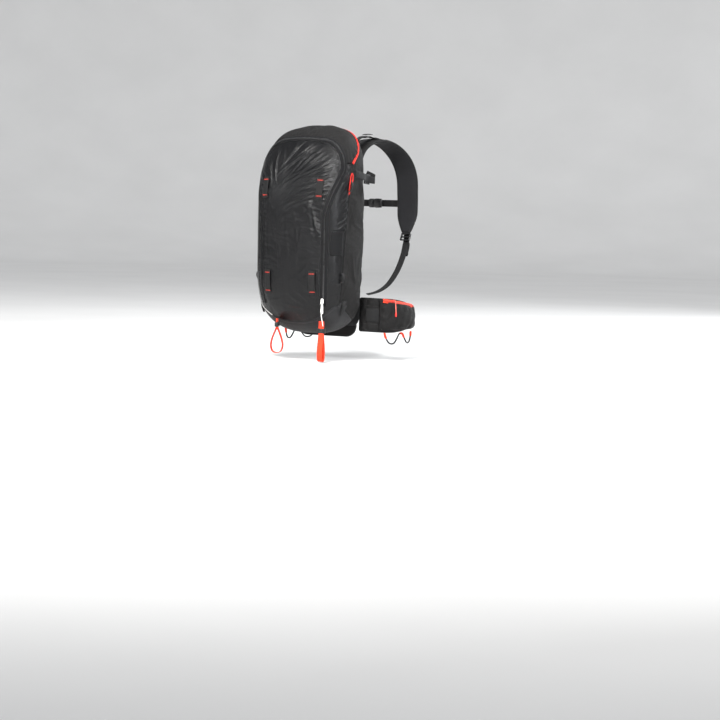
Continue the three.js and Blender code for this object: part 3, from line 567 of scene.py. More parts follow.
def webbing(name, colour, roughness=0.62, rib=0.0026):
    """Flat webbing: fine ribs across the strap with a herringbone turn."""
    n = Nodes(name, colour, roughness, sheen=0.02, specular=0.2)
    slant = n.threads(rib, 1, turn=math.radians(32))
    other = n.threads(rib, 1, turn=math.radians(-32))
    weave = n.maths("MAXIMUM", slant, other)
    yarn = n.threads(0.0011, 0)
    n.add_height(weave, 0.8)
    n.add_height(yarn, 0.35)
    n.add_height(n.noise(500, 2), 0.3)
    n.vary_colour(n.maths("ADD", n.scaled(weave, 0.55), n.scaled(n.noise(30, 4), 0.45)), 0.6, 1.3, 0.2, 0.85)
    n.vary_roughness(n.noise(60, 3), 0.06)
    return n.done(0.75, 0.0006)


def spacer_mesh(name, colour, pitch=0.0034):
    """Spacer mesh: rows of small holes over foam, with painted shade that darkens the holes."""
    n = Nodes(name, colour, 0.85, sheen=0.04, specular=0.12)
    cells = n.new("ShaderNodeTexVoronoi", feature="F1", distance="EUCLIDEAN")
    cells.inputs["Scale"].default_value = 1 / pitch
    cells.inputs["Randomness"].default_value = 0.12
    n.link(n.cloth, cells.inputs["Vector"])
    hole = n.maths("SUBTRACT", 1.0, n.scaled(cells.outputs["Distance"], 1.5), clamp=True)
    n.add_height(hole, -1.0)
    n.add_height(n.noise(700, 2), 0.2)
    n.add_height(n.noise(26, 3), 1.2)
    # The holes are painted darker as well as sunk: painted shade in them.
    n.vary_colour(n.maths("ADD", n.scaled(hole, -0.55, 0.75), n.scaled(n.noise(14, 4), 0.3)), 0.45, 1.5, 0.25, 0.85)
    return n.done(0.8, 0.0008)


def moulded(name, colour, roughness=0.42, grain=1800, sheen=0.0, coat=0.0):
    """Moulded plastic with a fine grain and slightly polished high spots."""
    n = Nodes(name, colour, roughness, sheen=sheen, coat=coat)
    n.add_height(n.noise(grain, 3), 0.5)
    n.add_height(n.noise(140, 3), 0.6)
    n.vary_colour(n.noise(26, 5), 0.82, 1.25)
    n.vary_roughness(n.noise(55, 4), 0.1)
    return n.done(0.35, 0.0003)


def brushed(name, colour, roughness=0.32):
    n = Nodes(name, colour, roughness, metallic=1.0)
    streaks = n.noise(260, 4, stretch=(1, 1, 0.04))
    n.add_height(streaks, 0.6)
    n.vary_colour(n.noise(30, 4), 0.85, 1.08)
    n.vary_roughness(streaks, 0.12)
    return n.done(0.3, 0.0003)


def thread(name, colour):
    n = Nodes(name, colour, 0.55, sheen=0.05)
    n.add_height(n.noise(1500, 2, stretch=(1, 1, 3)), 0.6)
    n.vary_colour(n.noise(400, 3), 0.7, 1.25)
    return n.done(0.5, 0.0003)


def folded_coated(name, colour):
    n = Nodes(name, colour, 0.45, sheen=0.15, coat=0.1)
    n.add_height(n.noise(55, 5, stretch=(0.4, 1, 1.6)), 1.6)
    n.add_height(n.maths("MULTIPLY", n.threads(0.0009, 0), n.threads(0.0009, 1)), 0.25)
    n.vary_colour(n.noise(20, 5), 0.75, 1.2)
    n.vary_roughness(n.noise(60, 3), 0.1)
    return n.done(0.6, 0.0008)


def floor_paint(name):
    n = Nodes(name, (0.72, 0.72, 0.715), 0.8)
    n.vary_colour(n.noise(2.0, 3), 0.97, 1.02)
    return n.done()


MAT = {
    "ripstop": ripstop("shiny_ripstop", (0.0026, 0.0026, 0.0030), 0.21, drawn="flap"),
    "strip": ripstop("strip_ripstop", (0.0026, 0.0026, 0.0030), 0.17, drawn="strip"),
    "fabric": plain_weave("matte_nylon", (0.0075, 0.0072, 0.0072), 0.62),
    "base": plain_weave("base_fabric", (0.018, 0.018, 0.019), 0.52, pitch=0.0019, crease=1.2),
    "lining": plain_weave("grey_lining", (0.10, 0.105, 0.11), 0.65),
    "zip": plain_weave("zip_tape", (0.0045, 0.0045, 0.005), 0.5, pitch=0.001, crease=0.3),
    "coil": moulded("zip_coil", (0.007, 0.007, 0.0075), 0.3),
    "air_mesh": spacer_mesh("spacer_mesh", (0.009, 0.009, 0.010)),
    "webbing": webbing("black_webbing", (0.0045, 0.0045, 0.0048)),
    "orange_webbing": webbing("orange_webbing", (0.62, 0.040, 0.014)),
    "red_trim": webbing("red_cord", (0.55, 0.020, 0.012), rib=0.0018),
    "airbag": folded_coated("airbag_nylon", (0.75, 0.09, 0.01)),
    "plastic": moulded("black_acetal", (0.006, 0.006, 0.0065), 0.36),
    "red_plastic": moulded("red_grip", (0.55, 0.014, 0.008), 0.4, coat=0.1),
    "white_plastic": moulded("white_pull", (0.78, 0.78, 0.75), 0.4),
    "sheet": moulded("poly_sheet", (0.010, 0.010, 0.0105), 0.42),
    "aluminium": brushed("drawn_aluminium", (0.36, 0.37, 0.39)),
    "electronics": moulded("grey_housing", (0.022, 0.024, 0.027), 0.46),
    "battery": moulded("battery_case", (0.045, 0.05, 0.056), 0.42),
    "black_thread": thread("black_thread", (0.012, 0.012, 0.0125)),
    "red_thread": thread("red_thread", (0.5, 0.03, 0.012)),
    "grey_thread": thread("grey_thread", (0.06, 0.06, 0.062)),
    "reflective": thread("pale_piping", (0.5, 0.5, 0.49)),
    "cord": webbing("black_cord", (0.008, 0.008, 0.0085), rib=0.0016),
    "pale_cord": webbing("pale_cord", (0.72, 0.72, 0.70), rib=0.0014),
    "lamp": moulded("light_window", (0.35, 0.5, 0.35), 0.2),
    "floor": floor_paint("pale_floor"),
    "pink_cord": webbing("pull_cord", (0.72, 0.16, 0.12), rib=0.0014),
}


# ---------------------------------------------------------------- cloth

SIMULATED = []  # one entry for each cloth that the shared run of the simulation moves


def hash_waves(p, pitch, seed):
    """Smooth pseudo-random waves between -1 and 1 over points, from a few sines."""
    draw = np.random.default_rng(seed)
    total = 0
    for k in range(5):
        direction = unit(draw.normal(size=3))
        total = total + np.sin(p @ direction * (2 * math.pi / pitch) * (0.7 + 0.18 * k) + draw.uniform(0, 6.3))
    return total / 3


def cloth(obj, pinned, frames=20, pressure=0.0, grow=0.0, stiffness=12, bending=0.6, cap=0.012, gravity=0.0):
    """Queues a piece for the cloth run. pinned is a weight for each vertex, and grow is how much larger it is cut."""
    SIMULATED.append(dict(obj=obj, pinned=pinned, frames=frames, pressure=pressure, grow=grow,
                          stiffness=stiffness, bending=bending, cap=cap, gravity=gravity))
    return obj


def add_cloth_modifier(entry):
    obj = entry["obj"]
    group = obj.vertex_groups.new(name="pin")
    for i, w in enumerate(entry["pinned"]):
        if w > 0:
            group.add([i], float(w), "REPLACE")
    modifier = obj.modifiers.new("cloth", "CLOTH")
    s = modifier.settings
    s.quality = 6
    s.mass = 0.25
    s.tension_stiffness = s.compression_stiffness = entry["stiffness"]
    s.shear_stiffness = entry["stiffness"] * 0.4
    s.bending_stiffness = entry["bending"]
    s.air_damping = 3
    s.vertex_group_mass = "pin"
    s.pin_stiffness = 1
    s.shrink_min = -entry["grow"]
    s.effector_weights.gravity = entry["gravity"]
    if entry["pressure"]:
        s.use_pressure = True
        s.uniform_pressure_force = entry["pressure"]
    modifier.collision_settings.use_collision = False
    modifier.point_cache.frame_end = entry["frames"]
    return modifier


def run_cloth():
    """Runs every queued cloth at once, keeps where it ends within its cap, and takes the modifier off again."""
    if not SIMULATED:
        return
    scene = bpy.context.scene
    for entry in SIMULATED:
        entry["modifier"] = add_cloth_modifier(entry)
        entry["start"] = coordinates(entry["obj"])
    last = max(e["frames"] for e in SIMULATED)
    for number in range(1, last + 1):
        scene.frame_set(number)
    graph = bpy.context.evaluated_depsgraph_get()
    for entry in SIMULATED:
        obj = entry["obj"]
        shown = obj.evaluated_get(graph).to_mesh()
        moved = np.zeros(len(shown.vertices) * 3)
        shown.vertices.foreach_get("co", moved)
        obj.evaluated_get(graph).to_mesh_clear()
        step = moved.reshape(-1, 3) - entry["start"]
        length = np.linalg.norm(step, axis=1, keepdims=True)
        step = step * np.minimum(1, entry["cap"] / np.maximum(length, 1e-9))
        entry["end"] = entry["start"] + np.nan_to_num(step)
    for entry in SIMULATED:
        obj = entry["obj"]
        obj.modifiers.remove(entry["modifier"])
        obj.vertex_groups.clear()
        set_coordinates(obj, entry["end"])
    scene.frame_set(1)


def coordinates(obj):
    co = np.zeros(len(obj.data.vertices) * 3)
    obj.data.vertices.foreach_get("co", co)
    return co.reshape(-1, 3)


def set_coordinates(obj, co):
    obj.data.vertices.foreach_set("co", np.asarray(co, float).ravel())
    obj.data.update()


def give_thickness(obj, thickness, lining=None, offset=-1.0):
    """Makes a single sheet solid. Its inside takes the lining's material."""
    modifier = obj.modifiers.new("thickness", "SOLIDIFY")
    modifier.thickness = thickness
    modifier.offset = offset
    modifier.use_even_offset = False
    if lining:
        obj.data.materials.append(lining)
        modifier.material_offset = 1
    return obj


# ---------------------------------------------------------------- sewn details


def frames_along(points, normals, closed=False):
    along = tangents(points, closed)
    normals = unit(normals - along * np.sum(normals * along, -1, keepdims=True))
    return along, normals, unit(np.cross(normals, along))


def sweep(name, points, normals, profile, material, closed=False, scale=None, caps=True):
    """A profile of (across, out) points, swept along a line. out follows the normals given."""
    _, up, side = frames_along(points, normals, closed)
    profile = np.asarray(profile, float)
    n, m = len(points), len(profile)
    size = np.ones(n) if scale is None else np.asarray(scale)
    grid = points[:, None] + size[:, None, None] * (
        side[:, None] * profile[None, :, 0, None] + up[:, None] * profile[None, :, 1, None]
    )
    faces = grid_faces(n, m, close_rows=closed, close_cols=True)
    if caps and not closed:
        faces += [tuple(range(m))[::-1], tuple((n - 1) * m + k for k in range(m))]
    length = lengths_along(points)
    girth = np.concatenate([[0], np.cumsum(np.linalg.norm(np.diff(profile, axis=0), axis=1))])
    uvs = np.stack(np.broadcast_arrays(girth[None], length[:, None]), -1).reshape(-1, 2)
    made = new_object(name, grid.reshape(-1, 3), faces, uvs, material)
    return face_outwards(made)


def round_profile(radius, sides=8, flat=1.0, lift=0.0):
    a = np.linspace(0, 2 * math.pi, sides, endpoint=False)
    return np.stack([radius * np.cos(a), radius * flat * np.sin(a) + lift], -1)


def band_profile(width, thickness, crown=0.3, lift=0.0):
    """A flat band with slightly rounded edges and a low crown."""
    w, t = width / 2, thickness / 2
    across = np.array([-1, -0.92, -0.5, 0, 0.5, 0.92, 1]) * w
    out = np.array([0.25, 0.85, 1, 1 + crown, 1, 0.85, 0.25]) * t
    top = np.stack([across, out + lift], -1)
    under = np.stack([across[::-1], -out[::-1] / (1 + crown) + lift], -1)
    return np.vstack([top, under])


def stitch_row(name, points, normals, material, pitch=0.0036, size=0.00032, lift=0.0004, fill=0.68):
    """A row of short raised threads, sunk at both ends, along a line."""
    count = max(2, int(lengths_along(points)[-1] / pitch))
    fine = resample(points, count * 4 + 1)
    picked = np.linspace(0, len(points) - 1, count * 4 + 1)
    normal = unit(np.stack([np.interp(picked, np.arange(len(points)), normals[:, k]) for k in range(3)], -1))
    along, up, side = frames_along(fine, normal)
    verts, faces = [], []
    profile = [(-1, -0.1), (0, 1), (1, -0.1), (0, -0.8)]
    for i in range(count):
        base = len(verts)
        for j, grow in ((0, 0.25), (1, 1.0), (2, 1.0), (3, 0.25)):
            k = i * 4 + j
            shift = along[k] * pitch * (fill - 0.5) * (j - 1.5) * 0.2
            sink = lift if 0 < j < 3 else -size
            for a, b in profile:
                verts.append(fine[k] + shift + side[k] * a * size * grow + up[k] * (b * size * grow + sink))
        for j in range(3):
            for q in range(4):
                a, b = base + j * 4 + q, base + j * 4 + (q + 1) % 4
                faces.append((a, b, b + 4, a + 4))
        faces += [(base + 3, base + 2, base + 1, base), (base + 12, base + 13, base + 14, base + 15)]
    return face_outwards(new_object(name, verts, faces, None, material))


def join(name, pieces):
    """Joins mesh pieces into the first one and names it. Material slots are kept."""
    pieces = [p for p in pieces if p]
    bpy.context.view_layer.update()
    with bpy.context.temp_override(active_object=pieces[0], selected_editable_objects=pieces, object=pieces[0]):
        bpy.ops.object.join()
    pieces[0].name = name
    pieces[0].data.name = name
    return pieces[0]


def place(obj, body, slot, *nodes):
    """The piece rides on a body and stands for CAD nodes. slot, its finish slot, is not used."""
    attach(obj, body)
    if nodes:
        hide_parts(*nodes)
    return obj


def mirror_piece(obj, name):
    """A copy of a mesh on the other side of the centre plane."""
    made = obj.copy()
    made.data = obj.data.copy()
    made.name = made.data.name = name
    bpy.context.scene.collection.objects.link(made)
    made.data.transform(Matrix.Diagonal((-1, 1, 1, 1)))
    made.data.flip_normals()
    return made


# ---------------------------------------------------------------- the bag's panels


def panel_from(name, grid, material, inside=(0, -0.11, 0.3)):
    rows, cols = grid.shape[:2]
    made = new_object(name, grid.reshape(-1, 3), grid_faces(rows, cols), grid_uvs(grid), material)
    return face_outwards(made, inside)


def border_weights(rows, cols, width=1):
    """1 on the outermost vertices of a grid, fading to 0."""
    r, c = np.meshgrid(np.arange(rows), np.arange(cols), indexing="ij")
    edge = np.minimum(np.minimum(r, rows - 1 - r), np.minimum(c, cols - 1 - c))
    return np.clip(1 - edge / width, 0, 1).ravel()


def pucker(grid, amount, reach=0.02, pitch=0.013, seed=1, soft=0.0016):
    """Small gathers along the sewn edges of a panel, and a shallow swell over all of it."""
    rows, cols = grid.shape[:2]
    p = grid.reshape(-1, 3)
    across = np.abs(grid - grid[:, :1]).sum(-1), np.abs(grid - grid[:, -1:]).sum(-1)
    upright = np.abs(grid - grid[:1]).sum(-1), np.abs(grid - grid[-1:]).sum(-1)
    near_side = np.minimum(*across).ravel()
    near_end = np.minimum(*upright).ravel()
    wave = hash_waves(p, pitch, seed)
    fade = np.exp(-np.minimum(near_side, near_end) / reach)
    inside = smoothstep(np.minimum(near_side, near_end) / 0.006)
    swell = hash_waves(p * (1, 1, 0.6), 0.09, seed + 5) * soft
    step = (amount * wave * fade + swell) * inside
    return (p + skin_normal(p) * step[:, None]).reshape(rows, cols, 3)


def line_at(line, z):
    """Points of an upright line at given heights."""
    return np.stack([np.interp(z, line[:, 2], line[:, k]) for k in range(3)], -1)


def flap_grid(rows=150, cols=92):
    """From the flap's lower edge to the top of the arch, between the zip's inner edges."""
    last = np.argmax(FLAP_EDGE[:, 0] < ARCH["flat"] + 0.004)
    side = np.vstack([resample(FLAP_EDGE[:last], rows - 2), FLAP_EDGE[[(last + len(FLAP_EDGE)) // 2, -1]]])
    angle = bearing(side)
    share = np.linspace(-1, 1, cols)
    arch = whole_line(side[-1:], 60)[::-1]
    crown = np.interp(angle[-1] * share, bearing(arch), arch[:, 2]) - side[-1, 2]
    rise = smoothstep((side[:, 2] - 0.49) / (side[-1, 2] - 0.49))
    return at_bearing(angle[:, None] * share, side[:, 2][:, None] + rise[:, None] * crown)


def whole_flap_grid(low_rows=22):
    """The flap and the strip below its fold, down to the hem, as one cloth."""
    upper = flap_grid()
    cols = upper.shape[1]
    angle = bearing(FLAP_EDGE[:1])[0] * np.linspace(-1, 1, cols)
    return np.vstack([below_hinge(angle, np.linspace(0, 1, low_rows))[:-1], upper])


def surround_grids():
    """A strip beside each side of the zip, and a small one below the zip's end."""
    edge = SURROUND_EDGE
    top = WING["z"] - 0.002
    z_low = np.linspace(0, 1, 16)
    z_up = np.linspace(HINGE_Z, top, 120)
    share = np.linspace(0, 1, 16)
    inner_low = bearing(line_at(edge, np.array([HINGE_Z])))[0]
    outer = bearing(widest_at(seam_y(z_up), z_up))
    inner = bearing(line_at(edge, z_up))
    strip_up = at_bearing(inner[:, None] * (1 - share) + outer[:, None] * share, z_up[:, None] + 0 * share)
    angle = inner_low * (1 - share) + outer[0] * share
    low_rows = below_hinge(angle, z_low)
    strip = np.vstack([low_rows[:-1], strip_up])
    corner = below_hinge(np.linspace(bearing(FLAP_EDGE[:1])[0], inner_low, 7), z_low)
    return strip, corner


def below_hinge(angle, share):
    """The skin from the hem up to the flap's hinge line, at given bearings."""
    z = np.full_like(angle, 0.06)
    for _ in range(8):
        x = at_bearing(angle, z)[..., 0]
        z = np.minimum(hem_z(x), HINGE_Z - 0.004)
    return at_bearing(angle[None], z[None] + (HINGE_Z - z[None]) * share[:, None])


def widest_at(y, z):
    """The skin on the right side at given y and height."""
    width = np.linspace(0.0, 0.2, 1200)
    probe = np.stack(np.broadcast_arrays(width[None], np.asarray(y)[:, None], np.asarray(z)[:, None]), -1)
    count = (skin_field(probe) < 0).sum(1)
    return np.stack([width[count], y, z], -1)


def hem_on_side(y):
    """The skin on the hem line at given y, on the right side."""
    z = np.full_like(y, 0.09)
    for _ in range(8):
        z = hem_z(widest_at(y, z)[:, 0])
    return widest_at(y, z)


def side_rows(lower=110, upper=90):
    """Front and rear ends of the side panel's rows, from the hem up the side and over the top to the centre."""
    seam_foot = hem_on_side(np.array([-0.163]))[0]
    rear_foot = hem_on_side(np.array([BACK_CUT_Y]))[0]
    z = np.linspace(0, 1, lower)[:, None]
    front_z = seam_foot[2] + (WING["z"] - seam_foot[2]) * z[:, 0]
    rear_z = rear_foot[2] + (WING["z"] - rear_foot[2]) * z[:, 0]
    front = widest_at(seam_y(front_z), front_z)
    rear = widest_at(np.full(lower, BACK_CUT_Y), rear_z)
    turn = math.atan2(WING["z"] - 0.3, rear[-1, 0])
    rear_up = resample(rear_outline(np.linspace(turn, math.pi / 2, 200)), upper + 1)[1:]
    front_up = resample(BURST_RIGHT, upper + 1)[1:]
    return np.vstack([front, front_up]), np.vstack([rear, rear_up])


def side_grid(cols=44):
    front, rear = side_rows()
    share = np.linspace(0, 1, cols)[None, :, None]
    return on_skin(front[:, None] * (1 - share) + rear[:, None] * share)


def cover_grid(rows=60, cols=150):
    """From the zip's outer edge over the top to the burst seam, from wing to wing."""
    start = np.argmax(SURROUND_EDGE[:, 2] > WING["z"])
    front = whole_line(SURROUND_EDGE[start:], cols)
    rear = whole_line(BURST_RIGHT, cols)
    share = np.linspace(0, 1, rows)[:, None, None]
    return on_skin(front[None] * (1 - share) + rear[None] * share)


def base_grid(rings=34, around=150):
    """A bowl from the hem and the back wall's lower edge to the middle of the bottom."""
    seam_bearing = bearing(widest_at(np.array([-0.163]), np.array([0.095])))[0]
    front = below_hinge(np.linspace(0, seam_bearing, 60), np.array([0.0]))[0]
    side = hem_on_side(np.linspace(-0.163, BACK_CUT_Y, 40))[1:]
    foot = side[-1]
    turn = math.atan2(foot[2] - 0.3, foot[0])
    rear = rear_outline(np.linspace(turn, -math.pi / 2, 60))[1:]
    half = np.vstack([front, side, rear])
    loop = resample(np.vstack([half, (half * (-1, 1, 1))[::-1][1:-1], half[:1]]), around, closed=True)
    middle = np.array([0, -0.1, 0.0016])
    share = (np.linspace(0, 1, rings) ** 0.9)[:, None, None]
    ring = loop[None] * (1 - share) + middle * share
    low = (0, -0.1, 0.13)
    flat = cast(np.broadcast_to(low, ring.shape), ring - np.array([0, 0, 0.02]) * share)
    flat[0] = loop
    return flat


def back_grid(rows=90, cols=50):
    outline = resample(rear_outline(np.linspace(-math.pi / 2 + 1e-4, math.pi / 2 - 1e-4, 600)), rows)
    share = np.linspace(-1, 1, cols)
    z = outline[:, 2][:, None] + 0 * share
    x = outline[:, 0][:, None] * share
    start = np.stack([x, np.full_like(x, BACK_CUT_Y - 0.004), z], -1)
    back = cast(start, start + (0, 0.1, 0))
    back[:, 0], back[:, -1] = outline * (-1, 1, 1), outline
    return back


# ---------------------------------------------------------------- the bag


def fold_fan(count, seed, x, z, angle, length, height, width):
    """Creases as (x, z, direction, length, height, width), drawn at random from ranges. Angles are in degrees."""
    draw = np.random.default_rng(seed)
    t = (np.arange(count) + draw.uniform(0.2, 0.8, count)) / count
    between = lambda values: np.interp(t, np.linspace(0, 1, len(values)), values)
    return np.stack([between(x) + draw.normal(0, 0.003, count), between(z) + draw.normal(0, 0.003, count),
                     np.radians(between(angle) + draw.normal(0, 2.5, count)), draw.uniform(*length, count),
                     draw.uniform(*height, count), draw.uniform(*width, count)], -1)


# The cloth is drawn tight from the arch's right shoulder towards the middle, and hangs in long creases below.
FLAP_FOLDS = np.vstack([fold_fan(24, 81, (0.010, 0.045, 0.075, 0.098, 0.112, 0.119, 0.122),
                                 (0.556, 0.55, 0.536, 0.512, 0.482, 0.447, 0.40), (226, 222, 206, 202), (0.08, 0.20),
                                 (0.0014, 0.0028), (0.0019, 0.0033)), fold_fan(9, 82, (-0.119, -0.115, -0.08, -0.02),
    (0.43, 0.48, 0.53, 0.555), (300, 276), (0.07, 0.15), (0.0008, 0.0015), (0.0024, 0.004)),
                        fold_fan(12, 83, (-0.105, 0.05), (0.38, 0.36), (279, 266), (0.14, 0.27), (0.0004, 0.0010),
                                 (0.003, 0.005)), fold_fan(7, 84, (0.040, 0.100), (0.42, 0.33), (284, 272),
                                                           (0.09, 0.17), (0.0015, 0.0025), (0.003, 0.005)),
                        fold_fan(8, 85, (0.100, 0.02), (0.115, 0.07), (140, 172), (0.04, 0.10), (0.0007, 0.0014),
                                 (0.0026, 0.0045)), fold_fan(6, 86, (-0.110, -0.08), (0.13, 0.08), (60, 20),
                                                             (0.04, 0.10), (0.0005, 0.0011), (0.0026, 0.0045)),])
SURROUND_FOLDS = np.vstack([
    fold_fan(20, 91, (-0.146, -0.152), (0.475, 0.30), (238, 220), (0.025, 0.055), (0.0014, 0.0028), (0.0018, 0.0032)),
    fold_fan(11, 92, (-0.146, -0.152), (0.27, 0.10), (232, 205), (0.02, 0.05), (0.0010, 0.0020), (0.0018, 0.0034)),
])
SIDE_FOLDS = np.vstack([
    fold_fan(7, 95, (-0.05, -0.10), (0.42, 0.47), (250, 300), (0.05, 0.12), (0.0010, 0.0024), (0.004, 0.008)),
    fold_fan(9, 96, (-0.13, -0.05), (0.16, 0.10), (100, 60), (0.05, 0.12), (0.0008, 0.002), (0.004, 0.008)),
])


def tension_folds(grid, folds, use_y=False):
    """Raises creases on a panel, seen from the front, or from the side where use_y is set."""
    a, z = (grid[..., 1] if use_y else grid[..., 0]), grid[..., 2]
    rows, cols = a.shape
    edge = np.minimum(np.linalg.norm(grid - grid[:, :1], axis=-1), np.linalg.norm(grid - grid[:, -1:], axis=-1))
    ends = np.minimum(np.linalg.norm(grid - grid[:1], axis=-1), np.linalg.norm(grid - grid[-1:], axis=-1))
    inside = smoothstep(np.minimum(edge, ends) / 0.009)
    rise = np.zeros((rows, cols))
    for x0, z0, turn, length, height, width in folds:
        along = (a - x0) * math.cos(turn) + (z - z0) * math.sin(turn)
        across = -(a - x0) * math.sin(turn) + (z - z0) * math.cos(turn) + 0.006 * np.sin(along / 0.035 + x0 * 90)
        share = np.clip(along / length, 0, 1)
        profile = np.sin(math.pi * share**0.7) ** 1.2 * ((along > 0) & (along < length))
        rise += height * profile * (np.exp(-((across / width) ** 2)) - 0.45
                                    * np.exp(-(((across - 2.2 * width) / (1.6 * width)) ** 2)))
    return grid + grid_normal(grid) * (rise * inside)[..., None]


def grid_normal(grid, inside=(0, -0.11, 0.3)):
    """Normals of a grid of points, away from a point inside the bag."""
    n = unit(np.cross(np.gradient(grid, axis=0), np.gradient(grid, axis=1)))
    return n * np.sign(np.sum(n * (grid - np.array(inside)), -1, keepdims=True))


def finer(grid, factor):
    """The same surface with more rows and columns, on smooth curves through the given ones."""
    for _ in range(2):
        at = np.linspace(0, len(grid) - 1, int(len(grid) * factor))
        i = np.clip(at.astype(int), 0, len(grid) - 2)
        t = (at - i)[:, None, None]
        a, b, c, d = (grid[np.clip(i + k, 0, len(grid) - 1)] for k in (-1, 0, 1, 2))
        made = 0.5 * (2 * b + (c - a) * t + (2 * a - 5 * b + 4 * c - d) * t**2 + (3 * b - a - 3 * c + d) * t**3)
        grid = made.swapaxes(0, 1)
    return grid


def creased(obj, rows, cols, folds, factor=1.6):
    """The panel again, with more rows and columns and with its creases raised."""
    grid = tension_folds(finer(coordinates(obj).reshape(rows, cols, 3), factor), folds)
    made = panel_from(obj.name + "_fine", grid, obj.data.materials[0])
    name = obj.name
    bpy.data.objects.remove(obj)
    made.name = made.data.name = name
    return made


def make_panels():
    """The sewn panels of the bag. Each one is a single sheet at first; the flap, the sides and the cover go to the
    cloth run.
    """
    made = {}
    grid = pucker(whole_flap_grid(), 0.0007, seed=3, soft=0.0012)
    flap = panel_from("front_flap_fabric", grid, MAT["ripstop"])
    made["flap"] = cloth(flap, border_weights(*grid.shape[:2], 2), grow=0.004, pressure=0.3, stiffness=9, cap=0.005)

    strip, corner = surround_grids()
    strip = tension_folds(finer(pucker(strip, 0.0005, seed=5, soft=0.0006), 2.0), SURROUND_FOLDS, True)
    right = panel_from("front_surround_fabric", strip, MAT["strip"])
    low = panel_from("surround_low", corner, MAT["strip"])
    right = join("surround_right", [right, low])
    left = mirror_piece(right, "surround_left")
    made["surround"] = join("front_surround_fabric", [right, left])

    grid = side_grid()
    for side, sign in (("right", 1), ("left", -1)):
        shaped = tension_folds(pucker(grid, 0.0009, seed=8 + sign, soft=0.0018), SIDE_FOLDS, True) * (sign, 1, 1)
        panel = panel_from(f"side_{side}_fabric", shaped, MAT["fabric"])
        made[side] = cloth(panel, border_weights(200, 44, 2), grow=0.008, pressure=0.25, stiffness=9, cap=0.005)

    grid = pucker(cover_grid(), 0.001, seed=12, soft=0.002)
    cover = panel_from("airbag_cover_fabric", grid, MAT["fabric"])
    made["cover"] = cloth(cover, border_weights(60, 150, 2), grow=0.007, pressure=0.3, stiffness=9, cap=0.004)

    grid = base_grid()
    p = grid.reshape(-1, 3)
    depth = lengths_along(grid[:, 0])
    fade = smoothstep(depth / 0.012)[:, None]
    step = hash_waves(p, 0.03, 21).reshape(grid.shape[:2]) * 0.0007 * fade
    grid = grid + skin_normal(grid) * step[..., None]
    rows, cols = grid.shape[:2]
    uvs = grid[..., :2] + (grid[..., 2:] * unit(grid[..., :2]))
    faces = grid_faces(rows - 1, cols, close_cols=True)
    tip = (rows - 1) * cols
    faces += [((rows - 2) * cols + c, (rows - 2) * cols + (c + 1) % cols, tip) for c in range(cols)]
    base = new_object("base_fabric", p[: tip + 1], faces, uvs.reshape(-1, 2)[: tip + 1], MAT["base"])
    made["base"] = face_outwards(base, (0, -0.1, 0.3))

    made["back"] = panel_from("back_wall_fabric", back_grid(), MAT["fabric"], (0, -0.12, 0.3))
    return made


# The flap and the cover, with their hinge lines from the point that stays to the point that swings.
# These two panels are baked in place instead of riding on a body.
HINGE_BANDS = {"flap": ((0, -0.2, 0.066), (0, -0.2, 0.100)), "cover": ((0, -0.1447, 0.5585), (0, -0.1255, 0.5489))}


def apply_modifiers(obj):
    graph = bpy.context.evaluated_depsgraph_get()
    mesh = bpy.data.meshes.new_from_object(obj.evaluated_get(graph), preserve_all_data_layers=True, depsgraph=graph)
    obj.modifiers.clear()
    obj.data = mesh


def finish_panels(made):
    made["flap"] = creased(made["flap"], *whole_flap_grid().shape[:2], FLAP_FOLDS)
    for key, body, slot, node in (
        ("flap", "flap", "ripstop", "front_flap"),
        ("surround", "pack", "ripstop", "front_surround"),
        ("right", "pack", "fabric", "side_panel_right"),
        ("left", "pack", "fabric", "side_panel_left"),
        ("cover", "cover", "fabric", "airbag_cover"),
        ("base", "pack", "base", "base_panel"),
        ("back", "pack", "fabric", "back_wall"),
    ):
        give_thickness(made[key], 0.0016, MAT["lining"])
        if body in HINGE_BANDS:
            apply_modifiers(made[key])
            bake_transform(made[key])
            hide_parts(node)
        else:
            place(made[key], body, slot, node)


# Each seam line on the skin, as points in order. Normals come from the skin.
SIDE_SEAM_FOOT = hem_on_side(np.array([-0.163]))[0]


def side_seam():
    z = np.linspace(SIDE_SEAM_FOOT[2], WING["z"], 160)
    return widest_at(seam_y(z), z)


def hem_line():
    """The base panel's upper edge, from the back wall's edge round the front to the centre, on the right."""
    seam_bearing = bearing(SIDE_SEAM_FOOT[None])[0]
    front = below_hinge(np.linspace(0, seam_bearing, 70), np.array([0.0]))[0]
    side = hem_on_side(np.linspace(-0.163, BACK_CUT_Y, 50))[1:]
    return resample(np.vstack([front, side])[::-1], 150)


def rear_seam():
    foot = hem_on_side(np.array([BACK_CUT_Y]))[0]
    turn = math.atan2(foot[2] - 0.3, foot[0])
    return resample(rear_outline(np.linspace(turn, math.pi / 2, 300)), 200)


def lifted(line, height):
    return line + skin_normal(line) * height


def seam_ridge(name, line, body, material, slot, width=0.0032, height=0.0011, mirrored=True):
    """A folded seam allowance that stands a little above the skin."""
    normals = skin_normal(line)
    profile = [(-width / 2, -0.0008), (-width * 0.36, height * 0.75), (0, height), (width * 0.36, height * 0.75),
               (width / 2, -0.0008)]
    ridge = sweep(name, line, normals, profile, material)
    if mirrored:
        ridge = join(name, [ridge, mirror_piece(ridge, name + "_l")])
    return place(ridge, body, slot)


